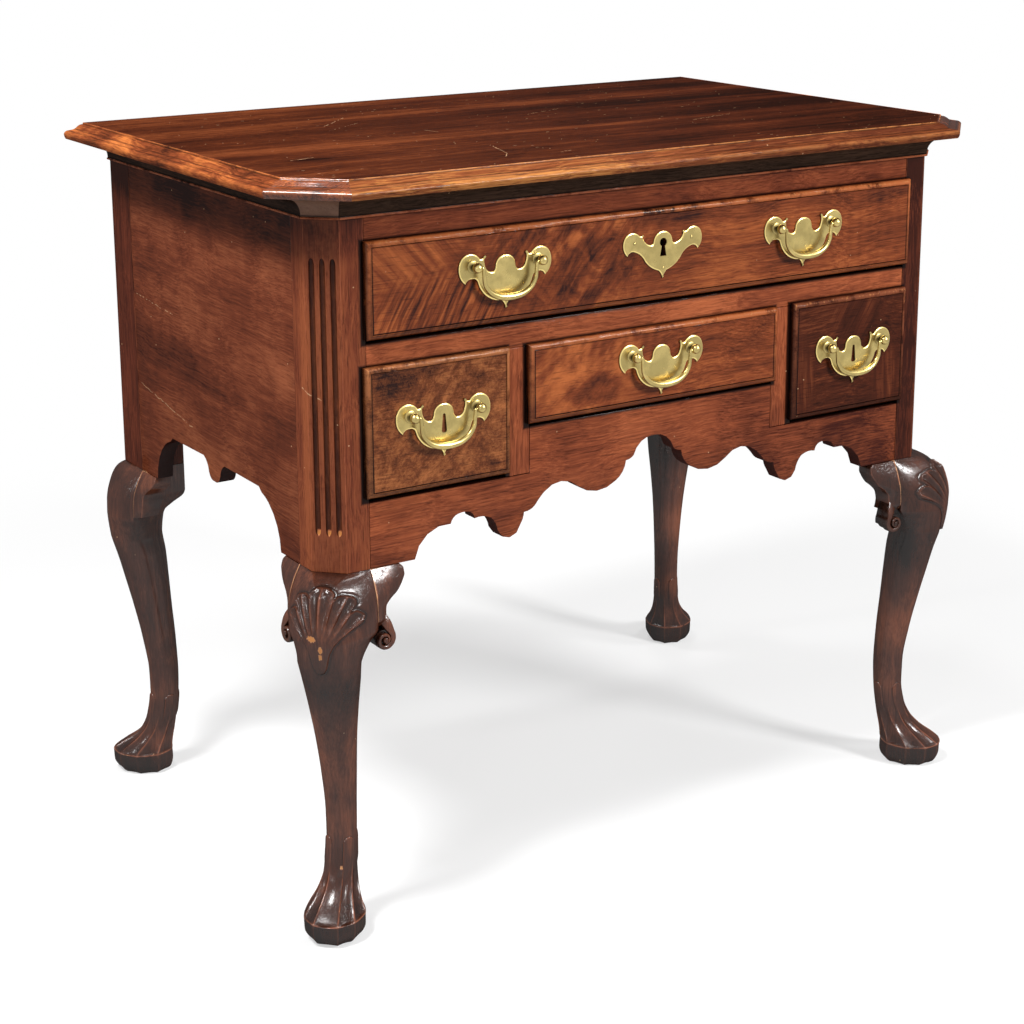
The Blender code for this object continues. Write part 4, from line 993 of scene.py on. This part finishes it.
def add_cove(woods):
    # out from the case, up from the foot, and wear, which on the bead is partly a painted
    # highlight: a bead, then the hollow
    profile = [(0.3, 0, 0), (2.6, 0, 0)]
    profile += [(2.6 + 1.1 * math.sin(a), 1.1 - 1.1 * math.cos(a), 0.9)
                for a in np.linspace(0.4, math.pi, 7)]
    profile += [(2.5, 2.5, 0)]
    profile += [(18.4 - 0.86 * 18.4 * math.cos(a), 2.6 + 17.2 * math.sin(a), 0)
                for a in np.linspace(0, math.pi / 2, 14)]
    profile += [(18.4, 20.8, 0.2), (18.4, 22.7, 0), (0.3, 22.7, 0)]
    columns = len(profile)
    t = math.tan(math.radians(22.5))
    turn, back = CASE_FRONT + CANT, CASE_BACK - GAP
    # corners of each run and the direction of the mitre there
    runs = {
        "cove_front": [
            ((CASE_LEFT, turn - GAP), (-1, -t)), ((CASE_LEFT + CANT, CASE_FRONT), (-t, -1)),
            ((CASE_RIGHT - CANT, CASE_FRONT), (t, -1)), ((CASE_RIGHT, turn - GAP), (1, -t))],
        "cove_left": [((CASE_LEFT, back), (-1, 0)), ((CASE_LEFT, turn), (-1, -t))],
        "cove_right": [((CASE_RIGHT, back), (1, 0)), ((CASE_RIGHT, turn), (1, -t))],
    }
    for name, path in runs.items():
        points, kinds = [], []
        for k, ((start, turn_0), (end, turn_1)) in enumerate(zip(path, path[1:])):
            step = (Vector(end) - Vector(start)).normalized() * 0.8 * MM
            points += [(start, turn_0, 0.9), (Vector(start) + step, turn_0, 0),
                       (Vector(end) - step, turn_1, 0)]
            # the bead at the foot of the cove is of the case's redder wood
            # the canted runs of the front cove take the lighter cant wood, a painted light
            run = 1 if name == "cove_front" and k != 1 else 0
            kinds += [2 if 1 <= j <= 7 else run for j in range(columns)] * 3
        points.append((*path[-1], 0.9))
        # painted shade in the quirk above the bead (points 9 and 10); the mitres are darker joints
        rings = [[(x + mx * out * MM, y + my * out * MM, UNDER_TOP + (up - 23) * MM, wear_and_glint,
                   1.0 if i in (9, 10) else line) for i, (out, up, wear_and_glint) in enumerate(profile)]
                 for (x, y), (mx, my), line in points]
        along = "x" if name == "cove_front" else "y"
        build("wood_" + name, [marked(rings, kinds + [0, 0])], "carcase",
              [woods["cove_" + along], woods["cove_cant"], woods["case_" + along]], (name,), 25)


def add_boards(woods):
    """Copies of the boards of the frame with their arrises rubbed round."""
    for node, kind in (("apron", "apron"), ("side_left", "case_y"), ("side_right", "case_y"),
                       ("top_rail", "case_x"), ("mid_rail", "rail"),
                       ("divider_left", "case_z"), ("divider_right", "case_z")):
        bm = bmesh.new()
        bm.from_mesh(NODES[node].data)
        bmesh.ops.remove_doubles(bm, verts=bm.verts, dist=1e-6)
        bmesh.ops.dissolve_limit(bm, angle_limit=math.radians(0.5), verts=bm.verts, edges=bm.edges)
        edges = [e for e in bm.edges if len(e.link_faces) == 2 and e.calc_face_angle() > 0.6
                 and e.is_convex]
        bmesh.ops.bevel(bm, geom=edges, offset=0.8 * MM, segments=2, profile=0.5, affect="EDGES",
                        clamp_overlap=True)
        bmesh.ops.triangulate(bm, faces=[f for f in bm.faces if len(f.verts) > 4])
        mesh = bpy.data.meshes.new("wood_" + node)
        bm.to_mesh(mesh)
        bm.free()
        add_piece("wood_" + node, mesh, 32, BODY_OF[node], [woods[kind]], (node,))


# a round eye above a slot that widens downwards, from the middle of the key plate
KEY_X, KEY_Z = 2 * MM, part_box("escutcheon")[0].z + 31.8 * MM
KEY_EYE = 4.6                   # its middle above that of the plate
KEYHOLE = [(4.3 * math.cos(a), KEY_EYE + 4.3 * math.sin(a))
           for a in np.radians(np.linspace(-62, 242, 18))]
KEYHOLE += [(-3.9, KEY_EYE - 14), (3.9, KEY_EYE - 14)]


def add_fronts(woods):
    # inset, share of the lip's thickness, wear and grime: the rounded lip, then a groove; the lip's
    # outer face and the groove get painted shade, the line just outside the groove a painted
    # highlight
    edge = eased([(0, 0.10, 0, 0.95), (0, 0.31, 0, 0.8), (0.7, 0.63, 0.5, 0.5),
                  (2.4, 0.87, 0.8, 0.35), (4.9, 0.985, 0.3, 0.45)], 4).tolist()
    edge += [(5.2, 0.985, 0.7, 0.0), (5.4, 0.95, 0.2, 0.6), (5.6, 0.89, 0, 1.0),
             (6.0, 0.93, 0, 1.0), (6.3, 1.0, 0, 0.6), (7.2, 1.0, 0, 0)]
    for tag in DRAWERS:
        name = "drawer_" + tag + "_front"
        low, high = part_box(name)
        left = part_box("drawer_" + tag + "_side_left")
        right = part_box("drawer_" + tag + "_side_right")
        inner = (left[0].x + 0.06 * MM, right[1].x - 0.06 * MM, low.z + 0.5 * MM,
                 left[1].z + 4 * MM)
        front = high.y - FRONT
        lip = front - low.y
        loops = [(inner, high.y, 0, 0), (inner, front - 0.04 * lip, 0, 0.3),
                 ((low.x, high.x, low.z, high.z), front - 0.04 * lip, 0, 0.3)]
        loops += [((low.x + i * MM, high.x - i * MM, low.z + i * MM, high.z - i * MM),
                   front - share * lip, wear_and_glint, grime_and_shade) for i, share, wear_and_glint, grime_and_shade in edge]
        # painted highlight with some wear along the top, painted shade along the bottom and more on
        # the left
        rings = [[(a, y, c, 0.3 * w, 1.5 * g), (b, y, c, 0.3 * w, 1.2 * g),
                  (b, y, d, 2.0 * w, 0.4 * g), (a, y, d, 2.0 * w, 0.8 * g)]
                 for (a, b, c, d), y, w, g in loops]
        hole = [(x * MM + KEY_X, z * MM + KEY_Z) for x, z in KEYHOLE] if tag == "long" else []
        build("wood_" + name, plate(rings, hole, 0.8), "drawer_" + tag,
              [woods["face_" + tag]], (name,), 30)


# half outlines from the top down: every other point is the middle of an arc
HANDLE_PLATE = [
    (0, 7.8), (7.6, 5.2), (10.9, -1.5), (11.6, -4.8), (14, -7.2), (19.2, -6.2), (22.6, -1.8),
    (23.8, 3.5), (22.8, 9.7), (25.2, 7.0), (28.6, 6.4), (38.9, 12.3), (49.0, 7.6), (51.9, -3.5),
    (44.8, -16.2), (41.6, -12.6), (37.4, -11.8), (33.0, -12.6), (30.6, -16.4), (20.5, -30.5),
    (4.8, -35.6), (1.9, -38.6), (0, -44)]
KEY_PLATE = [
    (0, 15.7), (8.2, 12.4), (11.4, 5.6), (12.6, 3.4), (15.1, 2.8), (21.0, 5.4), (24.6, 10.2),
    (24.9, 12.2), (24.3, 14.2), (27.0, 12.9), (29.6, 14.0), (37.4, 17.2), (45.6, 13.6),
    (48.4, 4.4), (43.1, -5.8), (39.6, -2.2), (34.4, -2.3), (27.2, -6.0), (21.9, -12.4),
    (15.0, -19.0), (5.0, -23.6), (2.0, -27.0), (0, -31.8)]
SPAN = 36.4                     # from the middle of a plate to each of its posts
THICK = 1.5                     # of a handle plate
BALL_AT, BALL = THICK + 8, 5.0  # how far a post's ball stands out, and its radius
# the long slot under a round head in the plates of the left and right drawers
PLATE_SLOT = [(1.5 * math.cos(a), -3.4 + 1.5 * math.sin(a)) for a in np.radians(range(0, 181, 20))]
PLATE_SLOT += [(-2.9, -19.0), (-1.6, -20.6), (1.6, -20.6), (2.9, -19.0)]


def arc(a, b, c, steps=9):
    """Points from a towards c on the circle through a, b and c, without c."""
    (ax, ay), (bx, by), (cx, cy) = a, b, c
    d = 2 * (ax * (by - cy) + bx * (cy - ay) + cx * (ay - by))
    aa, bb, cc = ax * ax + ay * ay, bx * bx + by * by, cx * cx + cy * cy
    ux = (aa * (by - cy) + bb * (cy - ay) + cc * (ay - by)) / d
    uy = (aa * (cx - bx) + bb * (ax - cx) + cc * (bx - ax)) / d
    r = math.hypot(ax - ux, ay - uy)
    start, through, end = (math.atan2(y - uy, x - ux) for x, y in (a, b, c))
    turn = (end - start) % (2 * math.pi)
    if (through - start) % (2 * math.pi) > turn:
        turn -= 2 * math.pi
    angles = [start + turn * i / steps for i in range(steps)]
    return [(ux + r * math.cos(angle), uy + r * math.sin(angle)) for angle in angles]


def inset(outline, distance):
    """The outline moved inwards (it runs clockwise)."""
    points = np.array(outline)
    ahead = np.roll(points, -1, 0) - points
    ahead /= np.maximum(np.linalg.norm(ahead, axis=1, keepdims=True), 1e-9)
    normal = np.stack([ahead[:, 1], -ahead[:, 0]], -1)
    both = normal + np.roll(normal, 1, 0)
    length = np.maximum(np.linalg.norm(both, axis=1, keepdims=True), 0.5)
    return points + both / length * distance * np.minimum(2 / length, 1.5)


def brass_plate(chain, thick, hole):
    """A cut plate with bevelled edges; y is 0 at its back."""
    half = [p for i in range(0, len(chain) - 2, 2) for p in arc(*chain[i:i + 3])]
    outline = mirrored(half + [chain[-1]])
    # rings inset, in depth, with wear and grime: the bevels brightened, partly as a painted
    # highlight, and the back edge darker
    return plate([[(x, -y * thick, z, wear_and_glint, grime_and_shade) for x, z in inset(outline, d)]
                  for d, y, wear_and_glint, grime_and_shade in ((0, 0, 0, 0.9), (0, 0.55, 0.6, 0.1),
                                            (0.5, 0.86, 1.0, 0), (1.3, 1, 0, 0))], hole, 0.4)


def bail_part():
    """The bail's rod, swelling towards its belly; the hinge line is at z = 0."""
    arm = SPAN - 6.9
    line = [(SPAN - 0.62, 0, 1.2), (arm + 3.9, 0, 1.2), (arm + 1.9, -0.3, 1.45),
            (arm + 0.6, -1.6, 1.7)]
    line += [(arm * a, -31.4 * b, r) for a, b, r in (
        (1.0, 0.21, 1.8), (0.976, 0.46, 2.0), (0.847, 0.70, 2.4), (0.624, 0.873, 2.9),
        (0.318, 0.975, 3.3), (0, 1, 3.5))]
    line = eased(line + [(-x, z, r) for x, z, r in reversed(line[:-1])])
    return shell(np.array([[(x - dz * r * s, r * c, z + dx * r * s) for c, s in circle(16)]
                           for (x, z, r), (dx, dz) in zip(line, headings(line))]))


def add_brasses(woods):
    post = [(6.4, -1.0), (6.4, -THICK - 0.25), (5.7, -THICK - 0.9), (4.6, -THICK - 1.1),
            (2.9, -THICK - 1.7), (2.4, -BALL_AT + 4.2), (2.7, -BALL_AT + 3.6)]
    post += [(BALL * math.cos(a), -BALL_AT - BALL * math.sin(a))
             for a in np.radians(np.linspace(-50, 89, 13))]
    post_grime = [0.7, 0.5, 0.15, 0.5, 0.9, 0.9, 0.5, 0.25, 0.1] + [0] * 11
    posts = [turning(post, (x, 0), 24, post_grime) for x in (-SPAN, SPAN)]
    nuts = [turning(profile, (x, 0), steps) for x in (-SPAN, SPAN) for profile, steps in (
        ([(5.6, 0.0), (5.6, 2.0), (4.9, 2.5), (2.0, 2.6)], 4),
        ([(1.9, 0.0), (1.9, 4.6), (1.3, 5.2)], 12))]
    brass = [woods["brass"]]
    for tag in ("long_left", "long_right", "left", "middle", "right"):
        low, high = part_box("plate_" + tag)
        drawer = BODY_OF["plate_" + tag]
        x, z = (low.x + high.x) / 2, low.z - HANDLE_PLATE[-1][1] * MM
        parts = brass_plate(HANDLE_PLATE, THICK, PLATE_SLOT if tag in ("left", "right") else [])
        build("brass_plate_" + tag, set_at(parts + posts, (x, high.y, z)), drawer, brass,
              ("plate_" + tag,), 40)
        build("iron_nuts_" + tag, set_at(nuts, (x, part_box(drawer + "_front")[1].y, z)), drawer,
              [woods["iron"]])
        build("brass_bail_" + tag, set_at([bail_part()], (x, high.y - BALL_AT * MM, z)),
              BODY_OF["bail_" + tag], brass, ("bail_" + tag,), 40)
    nail = [(1.9, -1.1), (1.9, -1.35)] + [(1.7 * math.cos(a), -1.4 - 0.9 * math.sin(a))
                                          for a in np.linspace(0.1, 1.5, 5)]
    parts = brass_plate(KEY_PLATE, 1.3, KEYHOLE) + [
        turning(nail, at, 14, [0.9, 0.9, 0.3, 0, 0, 0, 0])
        for at in ((-35, 6.2), (35, 6.2), (0, -21.3))]
    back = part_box("escutcheon")[1].y
    build("brass_escutcheon", set_at(parts, (KEY_X, back, KEY_Z)), "drawer_long", brass,
          ("escutcheon",), 40)


# which wood or metal a node of the frame gets: the first pattern that fits its name
KINDS = (
    ("top_board", "top"), ("cove_front", "cove_x"), ("cove", "cove_y"), ("leg|bracket", "leg"),
    ("divider", "case_z"), ("side", "case_y"), ("apron|top_rail|mid_rail", "case_x"),
    ("drawer.*_front", "face"), ("plate|bail|escutcheon", "brass"), ("lock_case", "iron"),
    ("back_panel|.*_back$|.*_bottom$", "poplar_x"), ("runner|guide", "poplar_old"), ("", "poplar"))


def finish_frame():
    """Every material, and the frame's own nodes painted with them."""
    # dark, middle and light of each wood
    case = ((0.035, 0.007, 0.004), (0.142, 0.032, 0.0125), (0.29, 0.078, 0.028))
    post = ((0.03, 0.007, 0.004), (0.115, 0.026, 0.012), (0.24, 0.065, 0.025))
    # lit is the case wood about 1.5 times lighter, painted light for the dividers, apron and middle
    # rail; the top rail keeps case, as painted shade under the top
    lit = ((0.045, 0.009, 0.005), (0.222, 0.054, 0.021), (0.44, 0.122, 0.045))
    board = ((0.018, 0.0045, 0.003), (0.118, 0.028, 0.012), (0.27, 0.08, 0.034))
    legs = ((0.009, 0.0036, 0.0025), (0.05, 0.0158, 0.009), (0.18, 0.055, 0.026))
    top = ((0.011, 0.0025, 0.001), (0.052, 0.0108, 0.0037), (0.15, 0.038, 0.0115))
    face = ((0.022, 0.005, 0.003), (0.165, 0.036, 0.0105), (0.4, 0.11, 0.03))
    ochre = ((0.014, 0.0035, 0.002), (0.13, 0.035, 0.0105), (0.33, 0.11, 0.034))
    dusk = ((0.012, 0.0035, 0.002), (0.062, 0.014, 0.006), (0.19, 0.05, 0.018))
    edge = ((0.07, 0.016, 0.006), (0.175, 0.049, 0.0155), (0.4, 0.16, 0.042))
    rim = ((0.035, 0.008, 0.003), (0.18, 0.041, 0.012), (0.5, 0.15, 0.036))
    # cove, cant and shadow are the walnut as painted shade under the top: cove on the front, shadow
    # nearly black on the sides, cant lighter as painted light on the canted runs
    cove = ((0.018, 0.009, 0.005), (0.05, 0.027, 0.017), (0.095, 0.05, 0.031))
    cant = ((0.09, 0.046, 0.03), (0.17, 0.09, 0.06), (0.25, 0.135, 0.09))
    shadow = ((0.008, 0.004, 0.003), (0.017, 0.009, 0.006), (0.04, 0.02, 0.013))
    fronts = [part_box("drawer_" + tag + "_front") for tag in DRAWERS]
    # the drawer fronts, moved a little down and to the left, for the painted shadow in the gaps
    # round them
    boxes = [((low.x - 0.0016, -0.5, low.z - 0.0026), (high.x - 0.001, 0.5, high.z - 0.001))
             for low, high in fronts]
    # scratches: start, end, width
    top_marks = [((x0, y0, TOP_Z), (x1, y1, TOP_Z), width) for x0, y0, x1, y1, width in (
        (-0.205, 0.083, -0.152, 0.137, 0.0005), (-0.215, 0.05, -0.16, 0.09, 0.0003),
        (-0.133, -0.133, -0.150, -0.19, 0.0005), (-0.150, -0.19, -0.165, -0.211, 0.0005),
        (-0.131, 0.002, -0.126, -0.02, 0.0005), (-0.345, -0.118, -0.318, -0.112, 0.0007),
        (0.03, 0.05, 0.09, 0.075, 0.0004), (0.15, -0.09, 0.22, -0.07, 0.0004))]
    side_marks = [((CASE_LEFT, y0, z0), (CASE_LEFT, y1, z1), width) for y0, z0, y1, z1, width in (
        (0.185, 0.468, 0.055, 0.448, 0.0006), (0.19, 0.567, 0.095, 0.560, 0.0005))]
    post_marks = [((CASE_LEFT, -0.197, 0.544), (CASE_LEFT, -0.206, 0.541), 0.0007),
                  ((CASE_LEFT, -0.206, 0.541), (-0.37, -0.216, 0.535), 0.0008)]
    plain = {"polish": 0.022, "streak": 0.55, "fine": 0.75, "shade": 0.7, "boxes": boxes}
    calm = {**plain, "streak": 0.5}
    shine = {"polish": 0.035, "rough": 0.15, "fine": 0.75, "streak": 0.85}
    woods = {key: walnut("walnut_" + name, along, *palette, seed, **looks)
             for key, name, along, palette, seed, looks in (
        ("case_x", "rails", "x", case, 0.3, plain),
        ("case_y", "sides", "y", board, 1.7, dict(
            marks=side_marks, polish=0.022, streak=0.55, fine=0.55, shade=0.75,
            figure=side_tone_and_shade, specks=0.55)),
        ("case_z", "uprights", "z", lit, 2.4, plain),
        ("leg", "legs", "z", legs, 3.1, dict(
            polish=0.08, rough=0.18, streak=0.7, fine=0.4, figure=leg_tone_and_shade,
            bare=(0.5, 0.27, 0.13))),
        ("post", "posts", "z", post, 8.2, dict(
            boxes=boxes, stretch=0.6, figure=post_tone_and_shade, polish=0.022, streak=0.7, fine=0.8,
            marks=post_marks)),
        ("top", "top", "x", top, 4.6, dict(
            marks=top_marks, fine=0.9, streak=0.7, polish=0.012, stretch=0.5, figure=top_tone_and_shade,
            shade=0.3, specks=0.48, scuffs=0.5)),
        ("edge_x", "edge_front", "x", edge, 7.4, dict(
            polish=0.02, rough=0.18, fine=1.3, figure=edge_figure)),
        ("edge_y", "edge_sides", "y", rim, 7.9, dict(
            polish=0.025, rough=0.18, shade=1.7, fine=0.8)),
        ("edge_cant", "edge_cants", "x", rim, 7.1, dict(
            polish=0.1, rough=0.16, figure=edge_figure)),
        ("apron", "apron", "x", lit, 9.3, {**calm, "figure": apron_tone_and_shade}),
        ("rail", "mid_rail", "x", lit, 0.9, {**calm, "figure": rail_figure}),
        ("cove_x", "cove_front", "x", cove, 5.2, dict(polish=0.006)),
        ("cove_y", "cove_sides", "y", shadow, 5.9, dict(polish=0.01)),
        ("cove_cant", "cove_cants", "x", cant, 5.5, dict(polish=0.02, fine=0.3)),
        ("face", "figured", "x", face, 6.3, {}),
        ("face_long", "long_front", "x", face, 6.3, {**shine, "figure": long_figure}),
        ("face_left", "left_front", "x", ochre, 6.8, {**shine, "figure": left_figure}),
        ("face_middle", "middle_front", "x", face, 7.1, {**shine, "figure": middle_figure}),
        ("face_right", "right_front", "x", dusk, 9.8, {**shine, "figure": right_figure,
                                                       "polish": 0.02}))}
    woods.update(
        poplar=poplar("poplar", "y"), poplar_x=poplar("poplar_boards", "x"),
        # the runners and guides show in the gaps round the drawers; their poplar is darkened to 0.4
        # as painted shade
        poplar_old=poplar("poplar_runners", "y", 0.4),
        brass=metal("brass", (0.54, 0.42, 0.16), (0.33, 0.25, 0.095), 0.29, 0.6),
        iron=metal("iron", (0.14, 0.12, 0.1), (0.06, 0.045, 0.035), 0.5, 0.7))
    for name, node in NODES.items():
        node.data.materials.clear()
        node.data.materials.append(
            woods[next(kind for pattern, kind in KINDS if re.match(pattern, name))])
    return woods


add_camera()
add_lights()
add_stage()
WOODS = finish_frame()
add_legs(WOODS)
add_brackets(WOODS)
add_top(WOODS)
add_cove(WOODS)
add_boards(WOODS)
add_fronts(WOODS)
add_brasses(WOODS)

bpy.context.scene.view_settings.view_transform = "Standard"
